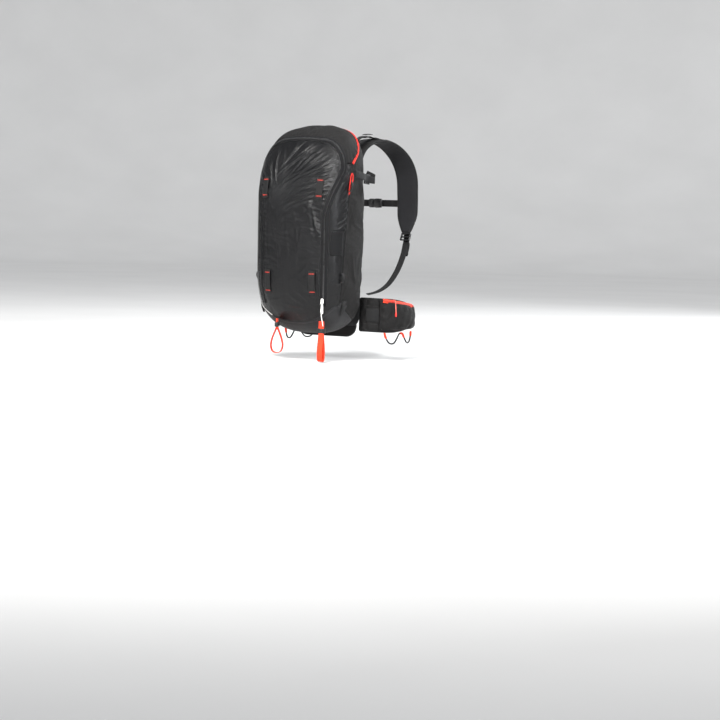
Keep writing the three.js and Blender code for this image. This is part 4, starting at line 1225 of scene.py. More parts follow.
def make_seams():
    thread_black, thread_grey = MAT["black_thread"], MAT["grey_thread"]
    rows = {"pack": [], "flap": [], "cover": []}

    def stitches(line, body, material=thread_black, lift=0.0008, mirrored=True, size=0.00034, pitch=0.0034):
        row = stitch_row("stitches", line, skin_normal(line), material, pitch=pitch, size=size, lift=lift)
        rows[body].append(row)
        if mirrored:
            rows[body].append(mirror_piece(row, "stitches_l"))

    side, hem, rear = side_seam(), hem_line(), rear_seam()
    seam_ridge("side_seam", side, "pack", MAT["fabric"], "fabric")
    seam_ridge("base_seam", hem, "pack", MAT["base"], "base", 0.0045, 0.0014)
    seam_ridge("back_seam", rear, "pack", MAT["webbing"], "webbing", 0.006, 0.0015)
    stitches(beside(side, 0.0045), "pack")
    stitches(beside(side, -0.0045), "pack")
    stitches(beside(hem, 0.0045), "pack", thread_grey)
    stitches(beside(hem, -0.0045), "pack")
    stitches(beside(side, 0.0085), "pack")
    edge = beside(FLAP_EDGE, 0.0028)
    stitches(edge, "flap")
    stitches(beside(FLAP_EDGE, 0.0065), "flap")
    outer = beside(SURROUND_EDGE, -0.0028)
    cut = np.argmax(outer[:, 2] > WING["z"] - 0.003)
    stitches(outer[:cut], "pack")
    stitches(outer[cut + 3 :], "cover")
    inner_burst = beside(BURST_RIGHT, 0.006)
    stitches(inner_burst[4:], "cover")
    top = whole_line(FLAP_EDGE[-2:], 60)
    row = stitch_row("stitches", lifted(beside(top, 0.0028), 0), skin_normal(top), thread_black)
    rows["flap"].append(row)
    for body, made in rows.items():
        row = join(f"topstitching_{body}", made)
        if body == "cover":
            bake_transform(row)
        else:
            place(row, body, "fabric")

    # A pale piping at the hem's left front corner.
    front = hem[hem[:, 1] < -0.11]
    line = beside(front[front[:, 0] > 0.078], -0.0026) * (-1, 1, 1)
    piping = sweep("hem_piping", line, skin_normal(line), round_profile(0.0011, 8, lift=0.0004), MAT["reflective"])
    place(piping, "pack", "webbing")


def teeth(line, normals, side_sign, name, material, pitch=0.0022):
    """One half of a zip's coil: rounded teeth that reach over the centre line."""
    count = int(lengths_along(line)[-1] / pitch)
    p = resample(line, count)
    n = unit(resample(normals, count))
    along, up, side = frames_along(p, n)
    half = [(-0.0002, -0.3), (0.0007, -0.55), (0.0032, -0.45), (0.0036, 0.0), (0.0032, 0.45), (0.0007, 0.55),
            (-0.0002, 0.3)]
    verts, faces = [], []
    for i in range(count):
        base = len(verts)
        for height in (0.0, 0.0011):
            for reach, wide in half:
                q = p[i] + side[i] * side_sign * (reach - 0.0006) + along[i] * wide * pitch * 0.72 * (1 - 200
                    * height * 0.6)
                verts.append(q + up[i] * (height + 0.0002))
        m = len(half)
        for k in range(m):
            a, b = base + k, base + (k + 1) % m
            faces.append((a, b, b + m, a + m))
        faces += [tuple(base + k for k in range(m))[::-1], tuple(base + m + k for k in range(m))]
    return face_outwards(new_object(name, verts, faces, None, material))


def make_main_zip():
    """Two tapes with a coil between them, from one lower corner of the flap round its top to the other."""
    line = whole_line(ZIP_RIGHT, 700)
    normals = skin_normal(line)
    for key, body, sign in (("flap", "flap", 1), ("surround", "pack", -1)):
        profile = np.array([(0.0009, 0.0001), (0.0012, 0.0009), (0.003, 0.0013), (0.0078, 0.0012), (0.0092, 0.0004),
                            (0.0092, -0.0006), (0.003, -0.0004)]) * (sign, 1)
        if sign < 0:
            profile = profile[::-1]
        tape = sweep(f"zip_tape_{key}", line, normals, profile, MAT["zip"])
        coil = teeth(line, normals, sign, "teeth", MAT["coil"])
        welt = sweep("welt", beside_line(line, normals, sign * 0.0086), normals, round_profile(0.0011, 8), MAT["zip"])
        piece = join(f"main_zip_{key}", [tape, coil, welt])
        place(piece, body, "zip", *(["front_zip"] if key == "surround" else []))


def beside_line(line, normals, distance):
    return line + frames_along(line, normals)[2] * distance


def bartack(centre, along, normal, width, height, material, thread_size=0.00042):
    """A dense block of satin stitches: width across the strap, height along it."""
    along, normal = unit(np.asarray(along, float)), unit(np.asarray(normal, float))
    side = np.cross(normal, along)
    count = max(3, int(width / (thread_size * 1.7)))
    verts, faces = [], []
    for i in range(count):
        x = (i / (count - 1) - 0.5) * width
        base = len(verts)
        for j, (share, lift, grow) in enumerate(((-0.5, -0.3, 0.4), (-0.35, 0.5, 1), (0.35, 0.5, 1),
                                                 (0.5, -0.3, 0.4))):
            for a, b in ((-1, 0), (0, 1), (1, 0), (0, -1)):
                verts.append(centre + side * (x + a * thread_size * grow) + along * (share * height)
                             + normal * (b * thread_size * grow + lift * thread_size * 1.6))
        for j in range(3):
            for q in range(4):
                a, b = base + j * 4 + q, base + j * 4 + (q + 1) % 4
                faces.append((a, b, b + 4, a + 4))
        faces += [(base + 3, base + 2, base + 1, base), (base + 12, base + 13, base + 14, base + 15)]
    return face_outwards(new_object("bartack", verts, faces, None, material))


def front_at(x, z):
    x, z = np.broadcast_arrays(np.asarray(x, float), np.asarray(z, float))
    start = np.stack([x, np.full_like(x, APEX_Y), z], -1)
    return cast(start, start - (0, 1, 0))


def make_lash_straps():
    """Four webbing loops on the flap, tacked down at their ends with coloured bartacks."""
    straps, tacks = [], []
    for x, low, high in ((0.090, 0.383, 0.442), (-0.090, 0.383, 0.442), (0.074, 0.114, 0.182),
                         (-0.074, 0.114, 0.182)):
        z = np.linspace(low, high, 40)
        line = front_at(x + 0 * z, z)
        normals = skin_normal(line)
        share = (z - low) / (high - low)
        lift = 0.0016 + 0.0022 * smoothstep(np.minimum(share, 1 - share) / 0.25)
        line = line + normals * lift[:, None]
        straps.append(sweep("lash", line, normals, band_profile(0.020, 0.0018), MAT["webbing"]))
        for at in (0, -1):
            inset = 5 if at == 0 else -6
            k = inset if at == 0 else len(z) + inset
            tacks.append(bartack(line[k] + normals[k] * 0.0011, tangents(line)[k], normals[k], 0.016, 0.0020,
                                 MAT["red_thread"]))
    straps = join("lash_straps", straps)
    place(straps, "flap", "webbing")
    place(join("lash_bartacks", tacks), "flap", "orange_webbing")


def make_burst_seam():
    """The red cord of the burst seam, and the flat zip that it covers."""
    line = whole_line(BURST_RIGHT, 420)
    normals = skin_normal(line)
    ends = np.minimum(lengths_along(line), lengths_along(line)[-1] - lengths_along(line))
    swell = 1 + 0.55 * (1 - smoothstep(ends / 0.05))
    raised = line + normals * 0.0012
    red = sweep("burst_cord", raised, normals, round_profile(0.0023, 12), MAT["red_trim"], scale=swell)
    profile = [(-0.0065, -0.0006), (-0.006, 0.0009), (0, 0.0012), (0.006, 0.0009), (0.0065, -0.0006)]
    tape = sweep("tape", line, normals, profile, MAT["zip"])
    place(red, "cover", "red_trim", "burst_zip")
    place(tape, "cover", "zip")
    tacks = []
    for sign in (1, -1):
        k = 3
        p, n = raised[k] * 1.0, normals[k]
        t = tangents(line)[k]
        tacks.append(bartack((p + n * 0.0022) * (sign, 1, 1), t * (sign, 1, 1), n * (sign, 1, 1), 0.007, 0.0035,
                             MAT["black_thread"]))
    place(join("burst_tacks", tacks), "cover", "fabric")


def make_front_details():
    """The black patch for a tool and the red loop beside the zip, on the right."""
    z = np.linspace(0.226, 0.294, 26)
    mid = (bearing(line_at(SURROUND_EDGE, z)) * 0.5 + bearing(widest_at(seam_y(z), z)) * 0.5)
    share = np.linspace(-1, 1, 12)
    half = 0.016
    patch = at_bearing(mid[:, None] + share * half / 0.16, z[:, None] + 0 * share)
    patch = patch + skin_normal(patch) * 0.0017
    piece = panel_from("tool_patch", patch, MAT["zip"])
    give_thickness(piece, 0.0016)
    place(piece, "pack", "webbing")
    rim = np.vstack([patch[0], patch[:, -1][1:], patch[-1][::-1][1:], patch[:, 0][::-1][1:-1]])
    inner = rim.mean(0) + (rim - rim.mean(0)) * 0.88
    row = stitch_row("patch_stitches", inner, skin_normal(inner), MAT["black_thread"], lift=0.0003)
    place(row, "pack", "webbing")

    seam = side_seam()
    z = np.array([0.396, 0.412, 0.43, 0.448, 0.456, 0.449, 0.432, 0.413, 0.398])
    shift = np.array([0.004, 0.008, 0.011, 0.011, 0.006, 0.001, 0.0, 0.001, 0.002])
    foot = line_at(seam, z)
    side = unit(np.cross(skin_normal(foot), (0, 0, 1.0)))
    loop = on_skin(foot + side * shift[:, None])
    loop = loop + skin_normal(loop) * np.array([-0.0006, 0.002, 0.0045, 0.005, 0.0052, 0.005, 0.0045, 0.002,
                                                -0.0006])[:, None]
    line = catmull(loop, 80)
    cord = sweep("seam_loop", line, skin_normal(line), round_profile(0.0013, 8), MAT["red_trim"])
    place(cord, "pack", "red_trim")


# ---------------------------------------------------------------- padded pieces


def centripetal(points, t):
    """The CAD model's curve through points, at parameters from 0 to 1."""
    p = np.asarray(points, float)
    t = np.atleast_1d(np.asarray(t, float))
    ext = with_ends(p)
    at = np.clip(t, 0, 1) * (len(p) - 1)
    i = np.minimum(at.astype(int), len(p) - 2)
    w = (at - i)[:, None]
    a, b, c, d = (ext[i + k] for k in range(4))
    da, db, dc = (np.sqrt(np.linalg.norm(y - x, axis=1, keepdims=True)) for x, y in ((a, b), (b, c), (c, d)))
    m1 = ((b - a) / da - (c - a) / (da + db) + (c - b) / db) * db
    m2 = ((c - b) / db - (d - b) / (db + dc) + (d - c) / dc) * db
    return b + m1 * w + (-3 * b + 3 * c - 2 * m1 - m2) * w**2 + (2 * b - 2 * c + m1 + m2) * w**3


def millimetres(points):
    return np.asarray(points, float) * MM


def outward_frame(line, across, centre):
    """Unit directions along, across and out of a strap whose inside faces a centre line."""
    along = tangents(line)
    across = unit(np.broadcast_to(across, line.shape) - along * np.sum(along * across, -1, keepdims=True))
    out = np.cross(along, across)
    away = line - centre
    flip = np.sign(np.sum(out * away, -1, keepdims=True).mean())
    return along, across, out * flip


def quilted(name, line, across, out, width, upper, lower, face, back, grooves=(), seams=(), around=44,
            depth=0.0024, end=0.007, swell=0.0, seed=1):
    """A padded strip with rounded ends. grooves are places across it, seams places along it, both in metres."""
    n = len(line)
    s = lengths_along(line)
    near = np.minimum(s, s[-1] - s)
    fade = np.sqrt(np.clip(1 - (1 - np.minimum(near / end, 1)) ** 2, 0.0, 1))
    angle = np.linspace(0, 2 * math.pi, around, endpoint=False)
    c, q = np.cos(angle), np.sin(angle)
    shape_x = np.sign(c) * np.abs(c) ** 0.5
    shape_y = np.sign(q) * np.abs(q) ** 0.75
    x = width[:, None] / 2 * shape_x[None]
    thick = np.where(shape_y > 0, upper, lower) * np.abs(shape_y)
    dent = np.zeros((n, around))
    for g in grooves:
        place_x = g * width[:, None] / 2 if abs(g) <= 1 else g
        dent = np.maximum(dent, np.exp(-(((x - place_x) / 0.0026) ** 2)))
    for g in seams:
        dent = np.maximum(dent, np.exp(-(((s[:, None] - g) / 0.0028) ** 2)) + 0 * x)
    wave = hash_waves((line[:, None] + across[:, None] * x[..., None]).reshape(-1, 3), 0.028, seed).reshape(n, around)
    y = np.sign(shape_y)[None] * fade[:, None] * (thick[None] - dent * np.minimum(depth,
        thick[None] * 0.7) * (shape_y > 0))
    y = y + wave * 0.0006 * (shape_y > 0.2) * fade[:, None] + swell * np.cos(x / width[:, None].max() * 3) * 0
    grid = line[:, None] + across[:, None] * x[..., None] + out[:, None] * y[..., None]
    faces = grid_faces(n, around, close_cols=True) + [tuple(range(around))[::-1],
                                                      tuple((n - 1) * around + k for k in range(around))]
    uvs = np.stack([x, np.broadcast_to(s[:, None], x.shape)], -1).reshape(-1, 2)
    made = new_object(name, grid.reshape(-1, 3), faces, uvs, face)
    made.data.materials.append(back)
    count = (n - 1) * around
    index = [1 if shape_y[k % around] + shape_y[(k % around + 1) % around] < 0 else 0 for k in range(count)] + [0, 0]
    made.data.polygons.foreach_set("material_index", index)
    face_outwards(made)
    pinned = np.maximum((np.abs(shape_x)[None] > 0.93) + 0 * x, dent > 0.5)
    pinned = np.maximum(pinned, (near < end)[:, None])
    pinned = np.maximum(pinned, (shape_y < 0.1)[None])
    cloth(made, pinned.ravel().astype(float), pressure=2.2, grow=0.03, stiffness=8, bending=0.4, cap=0.0028)
    return made


def edge_binding(name, line, across, out, width, material, size=(0.0034, 0.0032), inset=0.0012, lift=0.0):
    """A tape folded round the whole edge of a padded strip, with a row of stitches on it."""
    half = np.maximum(width / 2 - inset, 0.0005)[:, None]
    base = line + out * lift
    loop = np.vstack([base + across * half, (base - across * half)[::-1]])
    normals = np.vstack([out, out[::-1]])
    keep = np.concatenate([[True], np.linalg.norm(np.diff(loop, axis=0), axis=1) > 1e-5])
    loop, normals = loop[keep], normals[keep]
    profile = round_profile(1, 10) * size
    ring = sweep(name, loop, normals, profile, material, closed=True, caps=False)
    inner = np.maximum(half - size[0] * 0.9, 0.0003)
    row_line = np.vstack([base + across * inner, (base - across * inner)[::-1]])[keep] + normals * size[1] * 0.78
    row = stitch_row("stitches", row_line, normals, MAT["black_thread"], size=0.0003, lift=0.0001)
    return ring, row


def box_stitch(centre, along, normal, width, height, material, lift=0.0):
    """A sewn square with a cross in it."""
    along, normal = unit(np.asarray(along, float)), unit(np.asarray(normal, float))
    side = np.cross(normal, along)
    corner = [(-1, -1), (1, -1), (1, 1), (-1, 1), (-1, -1), (1, 1), (1, -1), (-1, 1)]
    rows = []
    for (a, b), (c, d) in zip(corner[:-1], corner[1:]):
        t = np.linspace(0, 1, 8)[:, None]
        p = np.array([[a, b]]) * (1 - t) + np.array([[c, d]]) * t
        line = centre + side * p[:, :1] * width / 2 + along * p[:, 1:] * height / 2 + normal * lift
        rows.append(stitch_row("stitches", line, np.broadcast_to(normal, line.shape), material, pitch=0.0028,
                               size=0.00034, lift=0.0002))
    return rows


# ---------------------------------------------------------------- moulded pieces


def rounded_outline(width, height, radius, corner=5):
    points = []
    for k, (sx, sz) in enumerate(((1, 1), (-1, 1), (-1, -1), (1, -1))):
        for a in np.linspace(0, math.pi / 2, corner) + k * math.pi / 2:
            points.append((sx * (width / 2 - radius) + radius * math.cos(a),
                           sz * (height / 2 - radius) + radius * math.sin(a)))
    return np.array(points)


def moulding(name, outline, depth, origin, x_dir, z_dir, material, bevel=0.0008, taper=0.0):
    """A plate with rounded edges. Its outline lies in x_dir and z_dir, and it rises along their cross."""
    x_dir, z_dir = unit(np.asarray(x_dir, float)), unit(np.asarray(z_dir, float))
    up = unit(np.cross(z_dir, x_dir))
    step = np.roll(outline, -1, 0) - np.roll(outline, 1, 0)
    normal = unit(np.stack([step[:, 1], -step[:, 0]], -1))
    rings = []
    for inset, height in ((bevel, 0), (bevel * 0.3, bevel * 0.3), (0, bevel), (taper, depth - bevel),
                          (taper + bevel * 0.3, depth - bevel * 0.3), (taper + bevel, depth)):
        p = outline - normal * inset
        rings.append(np.asarray(origin) + x_dir * p[:, :1] + z_dir * p[:, 1:] + up * height)
    grid = np.stack(rings)
    m = len(outline)
    faces = grid_faces(6, m, close_cols=True) + [tuple(range(m))[::-1], tuple(5 * m + k for k in range(m))]
    uvs = np.tile(outline, (6, 1))
    return face_outwards(new_object(name, grid.reshape(-1, 3), faces, uvs, material))


def ladder_lock(origin, x_dir, z_dir, width, height, depth, material, bars=(-1, 0, 1), bar=0.0036):
    """A frame with cross bars that webbing threads through."""
    x_dir, z_dir = unit(np.asarray(x_dir, float)), unit(np.asarray(z_dir, float))
    pieces = []
    for sign in (-1, 1):
        centre = np.asarray(origin) + x_dir * sign * (width / 2 - bar / 2)
        pieces.append(moulding("rail", rounded_outline(bar, height, bar * 0.4), depth, centre, x_dir, z_dir,
                               material))
    for b in bars:
        centre = np.asarray(origin) + z_dir * b * (height / 2 - bar / 2)
        pieces.append(moulding("bar", rounded_outline(width - 0.001, bar, bar * 0.45), depth, centre, x_dir, z_dir,
                               material))
    return join("lock", pieces)


def web(name, line, normals, width, material, thickness=0.0018):
    return sweep(name, line, normals, band_profile(width, thickness), material)


# ---------------------------------------------------------------- harness

STRAP_ROUTE = [[68, -8, 468], [68, -6, 500], [70, 12, 528], [76, 52, 549], [86, 105, 553], [98, 158, 534],
               [109, 198, 498], [115, 218, 455], [117, 222, 400], [118, 222, 350], [121, 216, 315], [126, 206, 290]]
WEBBING_ROUTE = [[132, 194, 260], [149, 152, 226], [160, 98, 178], [161, 46, 140], [152, 8, 122], [134, -18, 114]]
LIFTER_ROUTE = [[88, -22, 552], [90, -6, 560], [89, 28, 566], [87, 62, 562.5], [88, 88, 561.5]]
BELT_ROUTE = [[105, -7, 55], [130, -5, 55], [152, 8, 54], [165, 42, 52], [169, 88, 50], [165, 138, 48],
              [151, 182, 46], [128, 214, 45]]
BELT_WEBBING_ROUTE = [[126.5, 217, 45], [103, 242, 44], [70, 262, 43], [34, 270, 42]]
STRAP_HALF = 0.006
SHOULDER = np.array([0.0, 0.11, 0.36])


def handed(points, sign):
    return millimetres(points) * (sign, 1, 1)


def strap_width(u):
    return (60 + 8 * np.sin(math.pi * u) - 30 * smoothstep((u - 0.82) / 0.18)) * MM


def make_shoulder_strap(side, sign):
    u = np.linspace(0, 1, 150)
    line = centripetal(handed(STRAP_ROUTE, sign), u)
    along, across, out = outward_frame(line, (1.0, 0, 0), SHOULDER * (1, 1, 1) + (line[:, :1] * (1, 0, 0)))
    s = lengths_along(line)
    near_end = np.minimum(s, s[-1] - s)
    rounding = np.sqrt(np.clip(1 - (1 - np.minimum(near_end / 0.012, 1)) ** 2, 0.02, 1))
    width = strap_width(u) * (0.55 + 0.45 * rounding)
    pad = quilted(f"shoulder_pad_{side}", line, across, out, width, STRAP_HALF - 0.0005, STRAP_HALF - 0.0005,
                  MAT["fabric"], MAT["air_mesh"], grooves=(-0.42, 0.42), seed=31)
    ring, row = edge_binding("binding", line, across, out, width, MAT["webbing"])
    on_top = line[14:-6] + out[14:-6] * (STRAP_HALF + 0.0004)
    daisy = web("daisy", on_top, out[14:-6], 0.020, MAT["webbing"])
    tacks = []
    for k in range(20, len(u) - 14, 15):
        centre = line[k] + out[k] * (STRAP_HALF + 0.0022)
        tacks.append(bartack(centre, along[k], out[k], 0.017, 0.0022, MAT["black_thread"]))
    groove_rows = []
    for g in (-0.42, 0.42):
        where = line + across * (g * width / 2)[:, None] + out * 0.0042
        groove_rows.append(stitch_row("stitches", where[4:-4], out[4:-4], MAT["black_thread"], size=0.0003, lift=0))
    soft = place(pad, "pack", "fabric", f"shoulder_strap_{side}")
    place(join(f"strap_binding_{side}", [ring, row, *groove_rows]), "pack", "webbing")
    place(daisy, "pack", "webbing")
    place(join(f"strap_bartacks_{side}", tacks), "pack", "webbing")
    daisy.name = f"strap_webbing_rail_{side}"


def make_strap_webbing(side, sign):
    u = np.linspace(0, 1, 90)
    line = centripetal(handed(WEBBING_ROUTE, sign), u)
    along, _, out = outward_frame(line, (1.0, 0, 0), np.array([0, 0.11, 0.25]) + line[:, :1] * (1, 0, 0))
    into = catmull(np.vstack([handed([[129, 204, 287], [129.6, 203, 280], [130.4, 200.5, 273], [131.4, 196.6, 265]],
                                     sign), line[:1]]), 16)
    threaded = np.vstack([into[:-1], line])
    band = web("band", threaded, np.vstack([np.broadcast_to(out[0], (15, 3)), out]), 0.0195, MAT["webbing"])
    anchor = catmull(handed([[126.4, 209.5, 298], [127.6, 208, 291], [128.6, 205, 285], [129.2, 202, 283.5]], sign),
                     14)
    strap_end = web("anchor", anchor, np.broadcast_to(out[0], anchor.shape), 0.020, MAT["webbing"], 0.0024)
    # The webbing doubles back through the lock and ends in a folded, sewn grip.
    top = line[0] - along[0] * 0.004
    hang = np.array([top + out[0] * 0.003, top + out[0] * 0.0075 + along[0] * 0.006,
                     top + out[0] * 0.0095 + along[0] * 0.022, top + out[0] * 0.0092 + along[0] * 0.040,
                     top + out[0] * 0.0082 + along[0] * 0.056])
    tail_line = catmull(hang, 26)
    tail = web("tail", tail_line, np.broadcast_to(out[0], tail_line.shape), 0.019, MAT["webbing"])
    grip = web("grip", tail_line[-7:] + out[0] * 0.0016, np.broadcast_to(out[0], (7, 3)), 0.019, MAT["webbing"])
    place(join(f"strap_band_{side}", [band, strap_end, tail, grip]), "pack", "webbing", f"strap_webbing_{side}")
    rows = box_stitch(line[-9] + out[-9] * 0.0012, along[-9], out[-9], 0.014, 0.016, MAT["black_thread"])
    tack = bartack(tail_line[-8] + out[0] * 0.0018, along[0], out[0], 0.015, 0.002, MAT["black_thread"])
    place(join(f"strap_band_stitches_{side}", rows + [tack]), "pack", "webbing")

    tilt = math.radians(-24)
    z_dir = np.array([0, -math.sin(-tilt) * -1, math.cos(tilt)]) * (1, 1, 1)
    z_dir = np.array([0, math.sin(-tilt), math.cos(tilt)])
    y_dir = np.array([0, math.cos(tilt), math.sin(tilt)])
    origin = handed([[130, 199.5, 275]], sign)[0] - y_dir * 0.003
    lock = ladder_lock(origin, (-1.0, 0, 0), z_dir, 0.032, 0.0225, 0.006, MAT["plastic"])
    ribs = [moulding("rib", rounded_outline(0.020, 0.0012, 0.0005), 0.0008,
                     origin + y_dir * 0.0058 + z_dir * (h * MM), (-1.0, 0, 0), z_dir, MAT["plastic"],
                     bevel=0.0003) for h in (-8.4, -10.2)]
    place(join(f"ladder_lock_{side}", [lock, *ribs]), "pack", "plastic", f"strap_adjuster_{side}")


def make_load_lifter(side, sign):
    line = centripetal(handed(LIFTER_ROUTE, sign), np.linspace(0, 1, 60))
    along, across, out = outward_frame(line, (1.0, 0, 0), np.array([0, 0.03, 0.3]) + line[:, :1] * (1, 0, 0))
    band = web("band", line, out, 0.018, MAT["webbing"])
    tack_places = (6, 52)
    tacks = [bartack(line[k] + out[k] * 0.0014, along[k], out[k], 0.015, 0.0024,
                     MAT["black_thread"]) for k in tack_places]
    place(band, "pack", "webbing", f"load_lifter_{side}")
    place(join(f"lifter_tacks_{side}", tacks), "pack", "webbing")
    band.name = f"lifter_band_{side}"
    k = 24
    buckle = ladder_lock(line[k] + out[k] * 0.0004, across[k], along[k], 0.0265, 0.019, 0.0044, MAT["plastic"],
                         bars=(-1, 0.1, 1))
    buckle.name = f"lifter_buckle_{side}"
    place(buckle, "pack", "plastic")
    tab = np.array([line[k] + out[k] * 0.004 + along[k] * a * 0.001 + out[k] * b * 0.001
                    for a, b in ((6, 0), (14, 0.6), (24, 0), (33, -2), (40, -3.2))])
    tab_line = catmull(tab, 24)
    loose = web(f"lifter_tail_{side}", tab_line, np.broadcast_to(out[k], tab_line.shape), 0.017, MAT["webbing"],
                0.0015)
    place(loose, "pack", "webbing")


def make_compression_strap(side, sign):
    points = []
    for y, z, clear in ((-112, 456, 2.2), (-84, 452, 2.4), (-60, 448, 2.8), (-44, 445, 4)):
        x = widest_at(np.array([y * MM]), np.array([z * MM]))[0, 0]
        points.append([x / MM + clear, y, z])
    points += [[131, -22, 442], [137, 2, 440], [128, 12, 447], [112, -4, 458]]
    line = centripetal(handed(points, sign), np.linspace(0, 1, 110))
    along = tangents(line)
    out = unit(np.cross(along, (0, 0, 1.0))) * sign
    if np.sum(out[10] * (sign, 0, 0)) < 0:
        out = -out
    band = web(f"compression_band_{side}", line, out, 0.020, MAT["webbing"])
    place(band, "pack", "webbing", f"compression_strap_{side}")
    tacks = box_stitch(line[7] + out[7] * 0.0012, along[7], out[7], 0.015, 0.014, MAT["black_thread"])
    tacks.append(bartack(line[-4] + out[-4] * 0.0012, along[-4], out[-4], 0.016, 0.0024, MAT["black_thread"]))
    place(join(f"compression_stitches_{side}", tacks), "pack", "webbing")
    k = 62
    lock = ladder_lock(line[k] - out[k] * 0.002, np.cross(along[k], out[k]), along[k], 0.028, 0.024, 0.005,
                       MAT["plastic"])
    lock.name = f"compression_lock_{side}"
    place(lock, "pack", "plastic")


def rounded_width(z, low, high, half, radius):
    """The width of a rounded rectangle at height z."""
    near = np.minimum(z - low, high - z)
    drop = radius - np.sqrt(np.clip(radius**2 - (radius - np.minimum(near, radius)) ** 2, 0, None))
    return 2 * np.maximum(half - drop, 0.002)


def make_pad(name, node, x_centre, half, low, high, corner, y_back, y_face, seams, grooves, mesh="air_mesh"):
    z = np.unique(np.concatenate([np.linspace(low, high, 90), low + np.array([0.5, 1.5, 3, 5]) * MM,
                                  high - np.array([0.5, 1.5, 3, 5]) * MM]))
    line = np.stack([x_centre + 0 * z, y_back + 0 * z, z], -1)
    across = np.broadcast_to([1.0, 0, 0], line.shape)
    out = np.broadcast_to([0, 1.0, 0], line.shape)
    width = rounded_width(z, low, high, half, corner)
    thickness = y_face - y_back
    pad = quilted(name, line, across, out, width, thickness, 0.0004, MAT[mesh], MAT["fabric"], grooves=grooves,
                  seams=[s - low for s in seams], around=72, depth=0.0065, end=0.008, seed=41)
    ring, row = edge_binding("binding", line, across, out, width, MAT["webbing"], size=(0.003, 0.0042), lift=0.004)
    rows = [row]
    for s in seams:
        at = np.linspace(-0.86, 0.86, 50) * half + x_centre
        seam = np.stack([at, np.full(50, y_face - 0.0063), np.full(50, s)], -1)
        rows.append(stitch_row("stitches", seam, np.broadcast_to([0, 1.0, 0], seam.shape), MAT["black_thread"],
                               lift=0.0002))
    place(pad, "pack", "air_mesh", node)
    place(join(name + "_binding", [ring, *rows]), "pack", "webbing")


def make_back_pads():
    for side, sign in (("right", 1), ("left", -1)):
        make_pad(f"back_pad_quilted_{side}", f"back_pad_{side}", sign * 0.067, 0.041, 0.146, 0.444, 0.022, -0.0222,
                 -0.002, seams=(0.222, 0.297, 0.372), grooves=())
    make_pad("lumbar_quilted", "lumbar_pad", 0.0, 0.098, -0.008, 0.132, 0.030, -0.0222, -0.0002, seams=(0.062,),
             grooves=(-0.34, 0.34))
    make_pad("yoke_quilted", "yoke_panel", 0.0, 0.100, 0.452, 0.540, 0.026, -0.0222, -0.0155, seams=(),
             grooves=(-0.5, 0.5), mesh="fabric")


def belt_height(u):
    return (94 + (62 - 94) * smoothstep((u - 0.45) / 0.55)) * MM


def make_hip_wing(side, sign):
    body = f"hip_{side}"
    u = np.linspace(0, 1, 130)
    line = centripetal(handed(BELT_ROUTE, sign), u)
    along, across, out = outward_frame(line, (0, 0, 1.0), np.array([0, 0.1, 0.05]))
    s = lengths_along(line)
    near_end = s[-1] - s
    rounding = np.sqrt(np.clip(1 - (1 - np.minimum(near_end / 0.03, 1)) ** 2, 0.0, 1))
    width = belt_height(u) * (0.5 + 0.5 * rounding)
    pad = quilted(f"hip_pad_{side}", line, across, out, width, 0.0062, 0.0062, MAT["fabric"], MAT["air_mesh"],
                  grooves=(-0.55, 0.55), seams=(0.022,), seed=51)
    ring, row = edge_binding("binding", line, across, out, width, MAT["webbing"])
    rows = [row]
    for g in (-0.55, 0.55):
        where = line + across * (g * width / 2)[:, None] + out * 0.0044
        rows.append(stitch_row("stitches", where[4:-4], out[4:-4], MAT["black_thread"], size=0.0003, lift=0))
    place(pad, body, "fabric", f"hip_wing_{side}")
    place(join(f"hip_binding_{side}", [ring, *rows]), body, "webbing")

    # Webbing along the wing, under the pocket, and on to the buckle.
    start = np.argmin(abs(u - 0.12))
    rail = line[start:-3] + out[start:-3] * 0.0068
    over = web("rail", rail, out[start:-3], 0.038, MAT["webbing"])
    front = centripetal(handed(BELT_WEBBING_ROUTE, sign), np.linspace(0, 1, 60))
    front = np.vstack([front, handed([[31.5, 270.5, 42], [29, 271, 42], [25, 271.6, 42]], sign)])
    f_along, f_across, f_out = outward_frame(front, (0, 0, 1.0), np.array([0, 0.1, 0.05]))
    band = web("band", front, f_out, 0.038, MAT["webbing"], 0.0022)
    place(join(f"hip_band_{side}", [band, over]), body, "webbing", f"hip_webbing_{side}")
    stitched = box_stitch(line[-9] + out[-9] * 0.008, along[-9], out[-9], 0.030, 0.018, MAT["black_thread"])
    place(join(f"hip_band_stitches_{side}", stitched), body, "webbing")
    lock = ladder_lock(front[22] - f_out[22] * 0.0022, f_across[22], f_along[22], 0.047, 0.020, 0.0052,
                       MAT["plastic"])
    lock.name = f"hip_slider_{side}"
    place(lock, body, "plastic")
    make_hip_pocket(side, sign, body)
    make_gear_loops(side, sign, body)


def pocket_frame(sign, count=70):
    share = np.linspace(0, 1, count)
    u = 0.3 + 0.54 * share
    route = handed(BELT_ROUTE, sign)
    p = centripetal(route, u)
    along = unit(centripetal(route, u + 0.001) - centripetal(route, u - 0.001))
    out = unit(np.cross(along, (0, 0, 1.0))) * sign
    return share, p, along, out


